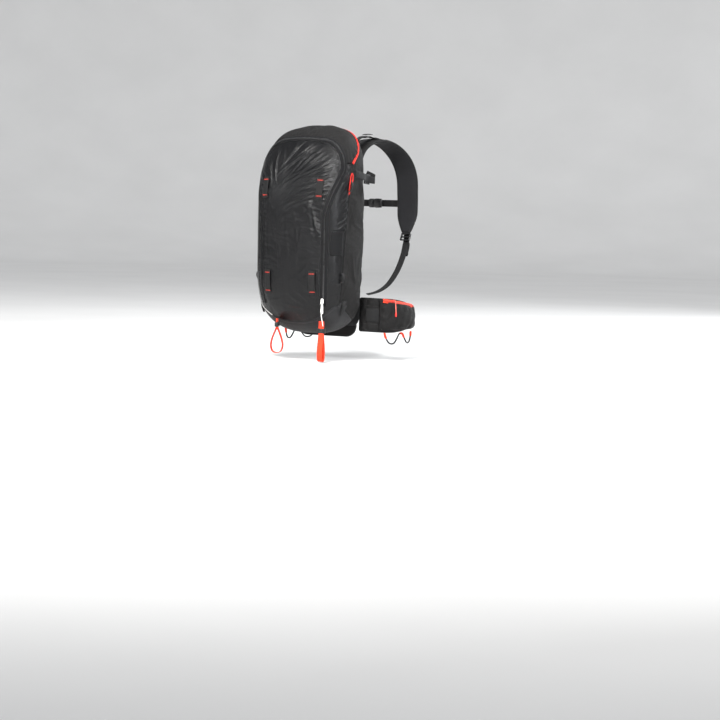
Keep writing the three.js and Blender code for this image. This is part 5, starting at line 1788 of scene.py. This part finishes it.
def make_hip_pocket(side, sign, body):
    """A sewn pouch with a gusset, a slanting zip near its top and piped edges."""
    share, p, _, out = pocket_frame(sign)
    bulge = (7 + 17 * np.sin(math.pi * np.clip(share, 0, 1)) ** 0.6) * MM
    low, high = 0.0125, (97.5 - 24 * share) * MM
    section = [np.stack([np.full(len(share), 0.0078), np.full(len(share), low)], -1)]
    for part, rise in ((0.72, low), (1.0, low + 0.014), (1.0, high - 0.012), (0.72, high)):
        section.append(np.stack([0.0078 + part * bulge, rise + 0 * share], -1))
    section.append(np.stack([np.full(len(share), 0.0078), high - 0.0004], -1))
    drawn = np.array([catmull(np.pad(ring, ((0, 0), (0, 1))), 34)[:, :2] for ring in np.stack(section, 1)])
    lift, z = drawn[..., 0], drawn[..., 1]
    t = np.linspace(0, 1, 34)
    ridge = np.argmin(np.abs(drawn - section[4][:, None]).sum(-1), 1)
    end = smoothstep(np.minimum(share, 1 - share) / 0.05)[:, None]
    lift = 0.0078 + (lift - 0.0078) * (0.45 + 0.55 * end)
    base = p.copy()
    base[:, 2] = 0
    grid = base[:, None] + out[:, None] * lift[..., None] + np.stack([0 * z, 0 * z, z], -1)
    wave = hash_waves(grid.reshape(-1, 3), 0.03, 61).reshape(z.shape) * 0.0012 * smoothstep(np.minimum(t,
        1 - t) / 0.2)
    grid = grid + out[:, None] * wave[..., None]
    back = base[:, None] + out[:, None] * 0.0076 + np.stack([0 * z, 0 * z, z], -1)[:, ::-1]
    ring = np.concatenate([grid, back[:, 1:-1]], 1)
    n, m = ring.shape[:2]
    faces = grid_faces(n, m, close_cols=True) + [tuple(range(m))[::-1], tuple((n - 1) * m + k for k in range(m))]
    uvs = np.stack([np.broadcast_to(lengths_along(p)[:, None], (n, m)), np.concatenate([z, z[:, -2:0:-1]], 1)], -1)
    pouch = face_outwards(new_object(f"hip_pouch_{side}", ring.reshape(-1, 3), faces, uvs.reshape(-1, 2),
                                     MAT["fabric"]))
    pinned = np.zeros((n, m))
    pinned[:2] = pinned[-2:] = 1
    pinned[:, :2] = pinned[:, 31:] = 1
    for i, at in enumerate(ridge):
        pinned[i, at - 1 : at + 2] = 1
    cloth(pouch, pinned.ravel(), pressure=1.2, grow=0.03, stiffness=7, bending=0.3, cap=0.0035)
    place(pouch, body, "fabric", f"hip_pocket_{side}")

    # The zip lies along the upper slope of the pouch.
    zip_at = (base[:, None] + out[:, None] * section[4][:, None, :1] + np.array([0, 0, 1.0]) * section[4][:, None,
        1:])[3:-3, 0]
    normal = unit(out[3:-3] * 0.86 + np.array([0, 0, 0.5]))
    tape = sweep("tape", zip_at + normal * 0.0006, normal, band_profile(0.013, 0.0012), MAT["orange_webbing"])
    coils = [teeth(zip_at + normal * 0.0012, normal, s, "teeth", MAT["red_thread"], 0.0018) for s in (1, -1)]
    place(join(f"pocket_zip_{side}", [tape, *coils]), body, "orange_webbing")
    rows = []
    k = int(np.median(ridge))
    for column in (k - 3, k - 4):
        edge = grid[3:-3, column]
        side_normal = unit(np.cross(tangents(edge), unit(grid[3:-3, column + 1] - grid[3:-3, column - 1])))
        side_normal = side_normal * np.sign(np.sum(side_normal * out[3:-3], -1, keepdims=True))
        rows.append(stitch_row("stitches", edge, side_normal, MAT["black_thread"], lift=0.0006))
    for column in (2,):
        edge = grid[2:-2, column]
        rows.append(sweep("piping", edge, out[2:-2], round_profile(0.0015, 8), MAT["webbing"]))
    rows.append(sweep("piping", grid[1, 1:-1], np.broadcast_to(out[1], (32, 3)), round_profile(0.0015, 8),
                      MAT["webbing"]))
    rows.append(sweep("piping", grid[-2, 1:-1], np.broadcast_to(out[-2], (32, 3)), round_profile(0.0015, 8),
                      MAT["webbing"]))
    place(join(f"pocket_trim_{side}", rows), body, "webbing")
    make_pocket_pull(side, sign)


def make_pocket_pull(side, sign):
    """The slider stays at the size of its CAD node, and a knotted cord hangs from it."""
    low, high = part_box(f"pocket_zip_slider_{side}")
    centre = (np.array(low) + np.array(high)) / 2
    run = unit(np.array([0.0, 0.9928, -0.1195]))
    up = unit(np.cross(np.cross(run, (0, 0, 1.0)), run))
    body = moulding("body", rounded_outline(0.0115, 0.0072, 0.0022), 0.0024, centre - up * 0.0024, run,
                    np.cross(up, run) * 1.0, MAT["red_plastic"], bevel=0.0006)
    bridge = sweep("bridge", catmull([centre + run * a * MM + up * b * MM for a,
                                      b in ((-4, -0.4), (-2.6, 1.7), (2.6, 1.7), (4, -0.4))], 16),
                   np.broadcast_to(np.cross(up, run), (16, 3)), round_profile(0.0008, 8), MAT["red_plastic"])
    outward = np.array([sign, 0, 0.0])
    hang = [centre + up * 0.0012, centre + outward * 0.004 + up * 0.001, centre + outward * 0.0075 - up * 0.006,
            centre + outward * 0.0085 - up * 0.016 + run * 0.001,
            centre + outward * 0.0095 - up * 0.027 + run * 0.002,
            centre + outward * 0.0098 - up * 0.036 + run * 0.003]
    line = catmull(hang, 40)
    name = f"pocket_slider_{side}"
    place(join(f"pocket_slider_body_{side}", [body, bridge]), name, "orange_webbing", f"pocket_zip_slider_{side}")
    cord = sweep(f"pocket_pull_{side}", line, np.broadcast_to(outward, line.shape), round_profile(0.0011, 8),
                 MAT["pink_cord"])
    place(cord, name, "orange_webbing")
    tip = line[-1]
    end = sweep(f"pocket_pull_end_{side}", np.array([tip + (0, 0, 0.002), tip + (0, 0, 0.0008), tip - (0, 0, 0.004),
                                                     tip - (0, 0, 0.009), tip - (0, 0, 0.0105)]),
                np.broadcast_to(outward, (5, 3)), round_profile(0.0024, 10), MAT["red_plastic"],
                scale=[0.45, 0.9, 1, 0.85, 0.4])
    place(end, name, "orange_webbing")


def make_gear_loops(side, sign, body):
    """A black cord that hangs in two loops below the wing, with orange sleeves where it is sewn on."""
    drop = [(0.36, 4), (0.38, -10), (0.43, -26), (0.49, -27), (0.54, -12), (0.57, -1), (0.62, -1), (0.65, -12),
            (0.70, -27), (0.76, -27), (0.81, -12), (0.83, 3)]
    route = handed(BELT_ROUTE, sign)
    points = []
    for u, z in drop:
        p = centripetal(route, u)[0]
        along = unit(centripetal(route, u + 0.001)[0] - centripetal(route, u - 0.001)[0])
        out = np.cross(along, (0, 0, 1.0)) * sign
        points.append([p[0] + out[0] * 0.011, p[1] + out[1] * 0.011, z * MM])
    line = centripetal(points, np.linspace(0, 1, 240))
    line = resample(line, 200)
    normals = np.broadcast_to([sign, 0, 0.0], line.shape)
    cord = sweep(f"gear_cord_{side}", line, normals, round_profile(0.0022, 10), MAT["cord"])
    place(cord, body, "webbing", f"gear_loops_{side}")
    sleeves = []
    middle = int(np.argmin(np.linalg.norm(line - centripetal(points, 0.5 + 0.045)[0], axis=1)))
    for a, b in ((0, 16), (middle - 14, middle + 14), (len(line) - 16, len(line) - 1)):
        part = line[a : b + 1]
        sleeves.append(sweep("sleeve", part, normals[a : b + 1], round_profile(0.0034, 12), MAT["orange_webbing"],
                             scale=1 - 0.25 * np.abs(np.linspace(-1, 1, len(part))) ** 6))
    sleeves = place(join(f"gear_sleeves_{side}", sleeves), body, "orange_webbing")


def make_spine_sleeve():
    """A fabric sleeve that holds the stays between the back pads."""
    z = np.linspace(0.148, 0.450, 90)
    line = np.stack([0 * z, -0.0192 + 0 * z, z], -1)
    across, out = np.broadcast_to([1.0, 0, 0], line.shape), np.broadcast_to([0, 1.0, 0], line.shape)
    width = rounded_width(z, 0.148, 0.450, 0.0225, 0.004)
    sleeve = quilted("spine_sleeve", line, across, out, width, 0.0030, 0.0, MAT["air_mesh"], MAT["fabric"],
                     grooves=(-0.5, 0.5), depth=0.0012, end=0.003, seed=47)
    rows = []
    for x in (-0.0112, 0.0112):
        row_line = np.stack([x + 0 * z, -0.0170 + 0 * z, z], -1)
        rows.append(stitch_row("stitches", row_line, out, MAT["black_thread"], lift=0.0002))
    place(sleeve, "pack", "fabric")
    place(join("spine_stitches", rows), "pack", "webbing")


def make_side_loops():
    """Small webbing loops in the side seams, and a pull tab at the hem."""
    loops, tacks = [], []
    for sign in (1, -1):
        for z0, z1, reach in ((0.404, 0.436, 0.0075), (0.150, 0.176, 0.006)):
            z = np.linspace(z0, z1, 24)
            foot = widest_at(seam_y(z) - 0.004, z)
            n = skin_normal(foot)
            line = (foot + n * (reach * np.sin(np.linspace(0, math.pi, 24)) ** 0.7 + 0.0006)[:, None])
            loops.append(sweep("loop", line * (sign, 1, 1), n * (sign, 1, 1), band_profile(0.010, 0.0016),
                               MAT["webbing"]))
            for k in (1, -2):
                tacks.append(bartack((foot[k] + n[k] * 0.0035) * (sign, 1, 1), (0, 0, 1.0), n[k] * (sign, 1, 1),
                                     0.009, 0.0022, MAT["black_thread"]))
        foot = hem_on_side(np.array([-0.150]))[0]
        n = skin_normal(foot[None])[0]
        path = catmull([foot + n * 0.0012 + (0, 0, 0.004), foot + n * 0.003 - (0, 0, 0.006),
                        foot + n * 0.0046 - (0, 0, 0.020) + (-0.003, 0, 0),
                        foot + n * 0.004 - (0, 0, 0.036) + (-0.009, 0, 0)], 30)
        loops.append(sweep("tab", path * (sign, 1, 1), np.broadcast_to(n * (sign, 1, 1), path.shape),
                           band_profile(0.012, 0.0018), MAT["webbing"]))
    place(join("side_loops", loops), "pack", "webbing")
    place(join("side_loop_tacks", tacks), "pack", "webbing")


def make_sternum_strap():
    line = centripetal(millimetres([[-100, 231.5, 375], [-50, 233, 375], [0, 233.5, 375], [50, 233, 375],
                                    [100, 231.5, 375]]), np.linspace(0, 1, 90))
    out = np.broadcast_to([0, 1.0, 0], line.shape)
    band = web("sternum_band", line, out, 0.020, MAT["webbing"])
    place(band, "sternum", "webbing", "sternum_webbing")
    clips, rows = [], []
    for sign in (1, -1):
        origin = np.array([sign * 0.0915, 0.2290, 0.375])
        clips.append(moulding("clip", rounded_outline(0.018, 0.0255, 0.004), 0.0028, origin, (-1.0, 0, 0),
                              (0, 0, 1.0), MAT["plastic"]))
        for h in (-0.0085, 0.0085):
            clips.append(moulding("bar", rounded_outline(0.0175, 0.0042, 0.0015), 0.0058,
                                  origin + (0, 0, h) - np.array([0, 0, 0]), (-1.0, 0, 0), (0, 0, 1.0),
                                  MAT["plastic"]))
        rows += box_stitch(np.array([sign * 0.070, 0.2339, 0.375]), (1.0, 0, 0), (0, 1.0, 0), 0.014, 0.014,
                           MAT["black_thread"])
    # A side-release buckle: a socket with two prongs' windows, and a tongue with a waist.
    for sign, length in ((1, 0.026), (-1, 0.0205)):
        w, h = length, 0.027
        outline = rounded_outline(w, h, 0.0055)
        outline[:, 1] *= 1 - 0.16 * smoothstep(np.abs(outline[:, 0]) / w) if sign < 0 else 1
        origin = np.array([sign * (length / 2) - 0.002 * (sign > 0), 0.2350, 0.375])
        clips.append(moulding("buckle", outline, 0.0095, origin, (-1.0, 0, 0), (0, 0, 1.0), MAT["plastic"],
                              bevel=0.0018))
    for h in (-0.0105, 0.0105):
        clips.append(moulding("prong", rounded_outline(0.012, 0.0042, 0.0018), 0.0062,
                              np.array([0.006, 0.2362, 0.375 + h * 1.12]), (-1.0, 0, 0), (0, 0, 1.0), MAT["plastic"],
                              bevel=0.0012))
    place(join("sternum_buckle_moulded", clips), "sternum", "plastic", "sternum_buckle")
    place(join("sternum_stitches", rows), "sternum", "webbing")


def make_haul_loop():
    points = millimetres([[-24, -12.2, 534], [-25, -10, 510], [-17, -8.5, 490], [0, -8, 484], [17, -8.5, 490],
                          [25, -10, 510], [24, -12.2, 534]])
    line = centripetal(points, np.linspace(0, 1, 110))
    along = tangents(line)
    inward = unit(np.array([0, -0.0098, 0.512]) - line)
    out = unit(np.cross(along, (0, 1.0, 0.08)))
    out = out * np.sign(np.sum(-out * inward, -1, keepdims=True))
    band = sweep("haul_band", line, out, band_profile(0.0024, 0.0140), MAT["webbing"])
    place(band, "haul", "webbing", "haul_loop")
    grip_line = line[30:-30]
    grip = sweep("haul_grip", grip_line, out[30:-30], round_profile(1, 14) * (0.0030, 0.0078), MAT["fabric"],
                 scale=1 - 0.3 * np.abs(np.linspace(-1, 1, len(grip_line))) ** 8)
    place(grip, "haul", "fabric")
    tacks = [bartack(line[k] + (0, 0.0014, 0), along[k], (0, 1.0, 0), 0.012, 0.0024, MAT["red_thread"]) for k in (5,
        -6)]
    place(join("haul_tacks", tacks), "haul", "orange_webbing")


def make_ski_loop(side, place_at, turn, spread, tab, length):
    body = f"ski_{side}"
    a = math.radians(turn)
    x_dir = np.array([math.cos(a), math.sin(a), 0])
    y_dir = np.array([-math.sin(a), math.cos(a), 0])
    origin = np.array(place_at) * MM

    def to_world(points):
        p = np.asarray(points, float) * MM
        return origin + x_dir * p[:, :1] + np.array([0, 0, 1.0]) * p[:, 1:]

    drop = length - tab
    right = [(spread * 0.3, -tab - drop * 0.15), (spread * 0.8, -tab - drop * 0.45), (spread, -tab - drop * 0.72),
             (spread * 0.7, -tab - drop * 0.94)]
    left = [(-x, z) for x, z in right][::-1]
    loop = catmull(to_world([(0, -tab), *right, (0, -length), *left]), 150, closed=True)
    along = tangents(loop, True)
    out = unit(np.cross(along, y_dir))
    middle = loop.mean(0)
    out = out * np.sign(np.sum(out * (loop - middle), -1).mean())
    band = sweep("band", loop, out, band_profile(0.018, 0.0020), MAT["orange_webbing"], closed=True, caps=False)
    tab_line = to_world([(0, z) for z in np.linspace(-tab - 7, -2, 24)])
    tab_band = sweep("tab", tab_line, np.broadcast_to(x_dir, tab_line.shape), band_profile(0.018, 0.0040),
                     MAT["orange_webbing"])
    place(join(f"ski_band_{side}", [band, tab_band]), body, "orange_webbing", f"ski_loop_{side}")
    rows = box_stitch(tab_line[-5] + x_dir * 0.0024, (0, 0, 1.0), x_dir, 0.013, 0.010, MAT["black_thread"])
    rows += box_stitch(tab_line[-5] - x_dir * 0.0024, (0, 0, 1.0), -x_dir, 0.013, 0.010, MAT["black_thread"])
    place(join(f"ski_stitches_{side}", rows), body, "webbing")
    # The lock: two plates and a sprung bar round the strap.
    centre = origin + np.array([0, 0, (-tab + 7) * MM])
    parts = []
    for sign in (1, -1):
        parts.append(moulding("plate", rounded_outline(0.028, 0.0135, 0.0032), 0.0026, centre + x_dir * sign * 0.0023,
                              y_dir * sign, (0, 0, 1.0), MAT["plastic"]))
        parts.append(moulding("rib", rounded_outline(0.020, 0.0022, 0.001), 0.0012,
                              centre + x_dir * sign * 0.0047 + (0, 0, 0.0028), y_dir * sign, (0, 0, 1.0),
                              MAT["plastic"], bevel=0.0004))
        parts.append(moulding("rib", rounded_outline(0.020, 0.0022, 0.001), 0.0012,
                              centre + x_dir * sign * 0.0047 - (0, 0, 0.0028), y_dir * sign, (0, 0, 1.0),
                              MAT["plastic"], bevel=0.0004))
        parts.append(moulding("side", rounded_outline(0.0105, 0.0125, 0.002), 0.0042, centre + y_dir * sign * 0.0098,
                              -x_dir * sign, (0, 0, 1.0), MAT["plastic"]))
    place(join(f"ski_buckle_{side}", parts), body, "plastic", f"ski_lock_{side}")


def make_trigger():
    """The grip on the left strap: ribbed sides, a flared foot, a cap and a cord down to the cable."""
    z = np.linspace(0.3985, 0.4585, 90)
    t = (z - z[0]) / (z[-1] - z[0])
    half_x = 0.0105 + 0.0042 * np.exp(-(((t - 0.08) / 0.10) ** 2)) - 0.0055 * smoothstep((t - 0.80) / 0.14)
    half_x *= np.sqrt(np.clip(1 - (1 - np.minimum(np.minimum(t, 1 - t) / 0.05, 1)) ** 2, 0.02, 1))
    rib = 0.0005 * np.cos((z - 0.42) * 2
                          * math.pi / 0.0056) * smoothstep((t - 0.22) / 0.05) * smoothstep((0.78 - t) / 0.05)
    half_x = half_x + rib
    half_y = 0.0066 - 0.0024 * smoothstep((t - 0.80) / 0.14)
    half_y = half_y * np.sqrt(np.clip(1 - (1 - np.minimum(np.minimum(t, 1 - t) / 0.05, 1)) ** 2, 0.02, 1)) + rib * 0.8
    angle = np.linspace(0, 2 * math.pi, 40, endpoint=False)
    sx, sy = (np.sign(wave) * np.abs(wave) ** 0.7 for wave in (np.cos(angle), np.sin(angle)))
    grid = np.stack([-0.117 + half_x[:, None] * sx, 0.238 + half_y[:, None] * sy, z[:, None] + 0 * sx[None]], -1)
    faces = grid_faces(90, 40, close_cols=True) + [tuple(range(40))[::-1], tuple(89 * 40 + k for k in range(40))]
    uvs = np.stack([np.broadcast_to(angle[None] * 0.01, (90, 40)), np.broadcast_to(z[:, None], (90, 40))], -1)
    grip = face_outwards(new_object("grip", grid.reshape(-1, 3), faces, uvs.reshape(-1, 2), MAT["red_plastic"]))
    cap = moulding("cap", rounded_outline(0.0125, 0.0105, 0.003), 0.0016, np.array([-0.117, 0.2416, 0.4525]),
                   (-1.0, 0, 0), (0, 0, 1.0), MAT["plastic"])
    inlay = moulding("inlay", rounded_outline(0.009, 0.024, 0.004), 0.0011, np.array([-0.117, 0.2439, 0.427]),
                     (-1.0, 0, 0), (0, 0, 1.0), MAT["white_plastic"], bevel=0.0004)
    place(join("trigger_grip", [grip, cap, inlay]), "handle", "red_plastic", "trigger_handle")

    clip = moulding("dock", rounded_outline(0.023, 0.035, 0.004), 0.0022, np.array([-0.117, 0.2280, 0.422]),
                    (-1.0, 0, 0), (0, 0, 1.0), MAT["plastic"])
    place(clip, "pack", "plastic")
    clip.name = "trigger_dock"

    strap = centripetal(handed(STRAP_ROUTE, -1), np.linspace(0, 1, 400))
    s_out = outward_frame(strap, (1.0, 0, 0), SHOULDER + (strap[:, :1] * (1, 0, 0)))[2]
    path = []
    for u, aside in ((0.61, 0), (0.54, -4), (0.46, -10), (0.38, -17), (0.31, -24)):
        k = int(round(u * 399))
        path.append(strap[k] + s_out[k] * 0.0105 + (aside * MM, 0, 0))
    path += list(millimetres([[-111, 36, 552], [-116, 6, 530], [-111, -16, 508], [-101, -34, 494], [-94, -50, 470],
                              [-88, -54, 430], [-78, -50, 392], [-64, -47, 362]]))
    line = resample(centripetal(path, np.linspace(0, 1, 500)), 260)
    up = np.array([0, 0.3, 1.0])
    normals = unit(up - tangents(line) * np.sum(tangents(line) * up, -1, keepdims=True))
    place(sweep("trigger_sleeve", line, normals, round_profile(0.0029, 12), MAT["cord"]), "pack", "webbing",
          "trigger_cable")
    loops = []
    for k in (12, 42, 74):
        part = line[k - 4 : k + 5]
        loops.append(sweep("keeper", part, normals[k - 4 : k + 5], round_profile(0.0036, 12), MAT["red_trim"],
                           scale=1 - 0.12 * np.abs(np.linspace(-1, 1, 9)) ** 4))
    place(join("trigger_keepers", loops), "pack", "red_trim")


def make_main_slider():
    """The slider of the main zip, its hinged pull and the cord tail on it."""
    low, high = (np.array(v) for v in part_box("front_zip_slider"))
    middle = (low + high) / 2
    tilt = math.radians(15.4)
    up = np.array([0, -math.cos(tilt), -math.sin(tilt)])
    run = np.array([0, -math.sin(tilt), math.cos(tilt)])
    x_dir = np.array([1.0, 0, 0])
    base = middle - up * 0.0018
    outline = rounded_outline(0.0078, 0.0150, 0.0028)
    outline[:, 0] *= 1 - 0.22 * smoothstep(0.5 - outline[:, 1] / 0.015)
    plate = moulding("plate", outline, 0.0026, base, x_dir, run, MAT["white_plastic"], bevel=0.0006)
    arch = catmull([base + up * 0.0022 + run * 0.0052, base + up * 0.0048 + run * 0.0036,
                    base + up * 0.0052 - run * 0.001, base + up * 0.0045 - run * 0.0042,
                    base + up * 0.0022 - run * 0.0052], 26)
    bridge = sweep("bridge", arch, np.broadcast_to(x_dir, arch.shape), round_profile(0.0011, 10),
                   MAT["white_plastic"])
    place(join("main_slider", [plate, bridge]), "zip_slider", "white_plastic", "front_zip_slider")

    low, high = (np.array(v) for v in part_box("front_zip_pull"))
    x = (low[0] + high[0]) / 2
    y = (low[1] + high[1]) / 2
    top, foot = high[2], low[2]
    ring = catmull([(x + a * MM, y, top - b * MM) for a, b in ((-2.6, 7), (-2.7, 3), (-1.6, 0.6), (1.6, 0.6),
        (2.7, 3), (2.6, 7))], 30)
    bail = sweep("bail", ring, np.broadcast_to([0, -1.0, 0], ring.shape), round_profile(0.0008, 8),
                 MAT["white_plastic"])
    outline = rounded_outline(0.0076, 0.0270, 0.0030)
    outline[:, 0] *= 1 - 0.20 * smoothstep(0.5 + outline[:, 1] / 0.027 * 1.2)
    tab = moulding("tab", outline, 0.0030, np.array([x, y + 0.0015, foot + 0.0135]), (1.0, 0, 0), (0, 0, 1.0),
                   MAT["white_plastic"], bevel=0.0009)
    ribs = [moulding("rib", rounded_outline(0.0048, 0.0009, 0.0004), 0.0007, np.array([x, y - 0.0014, foot + h * MM]),
                     (1.0, 0, 0), (0, 0, 1.0), MAT["white_plastic"], bevel=0.0002) for h in (6, 8.4, 10.8, 13.2)]
    place(join("main_pull", [bail, tab, *ribs]), "zip_pull", "white_plastic", "front_zip_pull")
    hang = catmull([(x, y, foot + 0.0022), (x + 0.0007, y - 0.0006, foot - 0.006),
                    (x + 0.0024, y + 0.0006, foot - 0.016), (x + 0.003, y + 0.003, foot - 0.025),
                    (x + 0.0026, y + 0.006, foot - 0.034)], 44)
    cord = sweep("pull_cord", hang, np.broadcast_to([0, -1.0, 0], hang.shape), round_profile(0.0012, 8),
                 MAT["pale_cord"])
    place(cord, "zip_pull", "white_plastic")


def make_folded_airbag():
    """The airbag, folded to and fro in flat layers under its cover."""
    layers = np.linspace(0.5115, 0.5685, 8)
    rows = []
    for i, z in enumerate(layers):
        y = np.linspace(-0.2, -0.043, 400)
        inside = skin_field(np.stack([0 * y, y, np.full(400, min(z + 0.010, 0.585))], -1)) < 0
        front = max(y[np.argmax(inside)] + 0.016, -0.1675)
        back = -0.0445
        path = np.linspace(front, back, 40) if i % 2 == 0 else np.linspace(back, front, 40)
        wide = widest_at(path, np.full(40, min(z + 0.006, 0.58)))[:, 0] - 0.016
        wide = np.minimum(np.maximum(wide, 0.02), 0.1195)
        sag = 0.0012 * np.sin(np.linspace(0, math.pi, 40))
        rows += [(py, z + g, w) for py, g, w in zip(path, sag, wide)]
    rows = np.array(rows)
    kernel = np.ones(5) / 5
    smooth = np.stack([np.convolve(np.pad(rows[:, k], 2, mode="edge"), kernel, "valid") for k in range(3)], -1)
    share = np.linspace(-1, 1, 70)
    p = np.stack([smooth[:, 2:] * share, np.broadcast_to(smooth[:, :1], (len(smooth), 70)),
                  np.broadcast_to(smooth[:, 1:2], (len(smooth), 70))], -1)
    wave = hash_waves(p.reshape(-1, 3), 0.022, 71).reshape(p.shape[:2])
    p[..., 2] += wave * 0.0013
    p[..., 1] += hash_waves(p.reshape(-1, 3), 0.04, 73).reshape(p.shape[:2]) * 0.0012
    sheet = new_object("airbag_folds", p.reshape(-1, 3), grid_faces(*p.shape[:2]), grid_uvs(p), MAT["airbag"])
    give_thickness(sheet, 0.0007)
    place(sheet, "pack", "airbag", "airbag_folded")
    hose_line = catmull(millimetres([[47.5, -55, 502], [47.5, -56, 505], [46, -60, 509], [42, -66, 512]]), 30)
    hose = sweep("airbag_inlet", hose_line, np.broadcast_to([0, 1.0, 0], hose_line.shape), round_profile(0.0085, 20),
                 MAT["airbag"], scale=1 + 0.06 * np.sin(np.linspace(0, 1, 30) * 2 * math.pi * 5))
    place(hose, "pack", "airbag")


KEPT_FINISH = {"framesheet": "sheet", "frame_stay": "aluminium", "blower_housing": "electronics",
               "blower_cover": "electronics", "blower_motor": "aluminium", "impeller": "electronics",
               "check_valve_flap": "red_plastic", "controller_housing": "electronics", "power_button": "red_plastic",
               "trigger_lever": "aluminium", "battery_pack": "battery", "battery_dock": "plastic",
               "hip_buckle_tongue": "plastic", "hip_buckle_socket": "plastic", "hip_buckle_button": "aluminium",}


def finish_kept_nodes():
    for name, finish in KEPT_FINISH.items():
        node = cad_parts[name]
        node.data.materials.clear()
        node.data.materials.append(MAT[finish])
        bevel = node.modifiers.new("edges", "BEVEL")
        bevel.width = 0.0006
        bevel.segments = 2
        bevel.limit_method = "ANGLE"
        bevel.angle_limit = math.radians(40)
        bevel.harden_normals = True


def ribs(size, radius, height, centres, facing, material):
    """Low ridges of one size, one at each centre."""
    outline = rounded_outline(*size, radius)
    return [moulding("rib", outline, height, np.array(centre), (facing, 0, 0), (0, 0, 1.0), MAT[material],
                     bevel=0.0003) for centre in centres]


def make_buckle_details():
    """Grip ribs on the hip buckle, ribs and a strap on the battery, slots and lamps on the controller."""
    for name, body, y, places in (("socket_ribs", "hip_left", 0.2783, (-25.0, -23.2, -21.4)),
                                  ("tongue_ribs", "hip_right", 0.2773, (20.5, 22.6, 24.7))):
        grip = ribs((0.0009, 0.034), 0.0004, 0.0009, [(x * MM, y, 0.042) for x in places], -1.0, "plastic")
        place(join(name, grip), body, "plastic")
    battery = ribs((0.058, 0.0016), 0.0007, 0.0009,
                   [(0.044, -0.0737, z) for z in (0.232, 0.238, 0.244, 0.296, 0.302)], 1.0, "battery")
    handle_line = catmull([(0.030, -0.056, 0.3175), (0.031, -0.056, 0.3262), (0.044, -0.056, 0.3292),
                           (0.057, -0.056, 0.3262), (0.058, -0.056, 0.3175)], 40)
    battery.append(sweep("strap", handle_line, np.broadcast_to([0, -1.0, 0], handle_line.shape),
                         band_profile(0.0016, 0.012), MAT["orange_webbing"]))
    place(join("battery_details", battery), "battery", "battery")
    marks = ribs((0.044, 0.0012), 0.0005, 0.0008,
                 [(-0.066, -0.0617, z) for z in (0.205, 0.210, 0.215, 0.220, 0.225)], 1.0, "electronics")
    marks += [moulding("light", rounded_outline(0.0044, 0.0018, 0.0008), 0.0006,
                       np.array([(-0.058 + k * 0.0075), -0.0617, 0.270]), (1.0, 0, 0), (0, 0, 1.0), MAT["lamp"],
                       bevel=0.0002) for k in range(4)]
    place(join("controller_details", marks), "pack", "electronics")


FLOOR_DROP, FLOOR_RADIUS, WALL_RADIUS = 0.004, 9.0, 4  # the floor lies just below the loops and curves up into a wall


def make_floor():
    """A pale floor that curves up into a wall far all round."""
    low = float(cad_bounds[0][2]) - FLOOR_DROP
    profile = [(r, 0.0) for r in (0, 0.5, 1, 2, 3, 4, 5, 6, 7, 8, 9)]
    profile += [(FLOOR_RADIUS + WALL_RADIUS * math.sin(a),
                 WALL_RADIUS - WALL_RADIUS * math.cos(a)) for a in np.linspace(0.025, math.pi / 2, 60)]
    angle = np.linspace(0, 2 * math.pi, 96, endpoint=False)
    verts, faces = [(0, 0, low)], []
    for r, z in profile[1:]:
        verts += [(r * math.cos(a), r * math.sin(a), low + z) for a in angle]
    faces += [(0, 1 + (k + 1) % 96, 1 + k) for k in range(96)]
    faces += grid_faces(len(profile) - 1, 96, close_cols=True, first=1)
    floor = new_object("floor", verts, faces, None, MAT["floor"])


make_camera()
make_studio()
make_floor()
for side, sign in (("right", 1), ("left", -1)):
    make_hip_wing(side, sign)
    make_shoulder_strap(side, sign)
    make_strap_webbing(side, sign)
    make_load_lifter(side, sign)
    make_compression_strap(side, sign)
panels = make_panels()
make_seams()
make_main_zip()
make_main_slider()
make_lash_straps()
make_burst_seam()
make_front_details()
make_back_pads()
make_spine_sleeve()
make_side_loops()
make_sternum_strap()
make_haul_loop()
make_ski_loop("right", (86, -181.5, 42), 90, 7, 36, 116)
make_ski_loop("left", (-56, -193.5, 44), 20, 17, 26, 99)
make_trigger()
make_folded_airbag()
make_buckle_details()
finish_kept_nodes()
run_cloth()
finish_panels(panels)
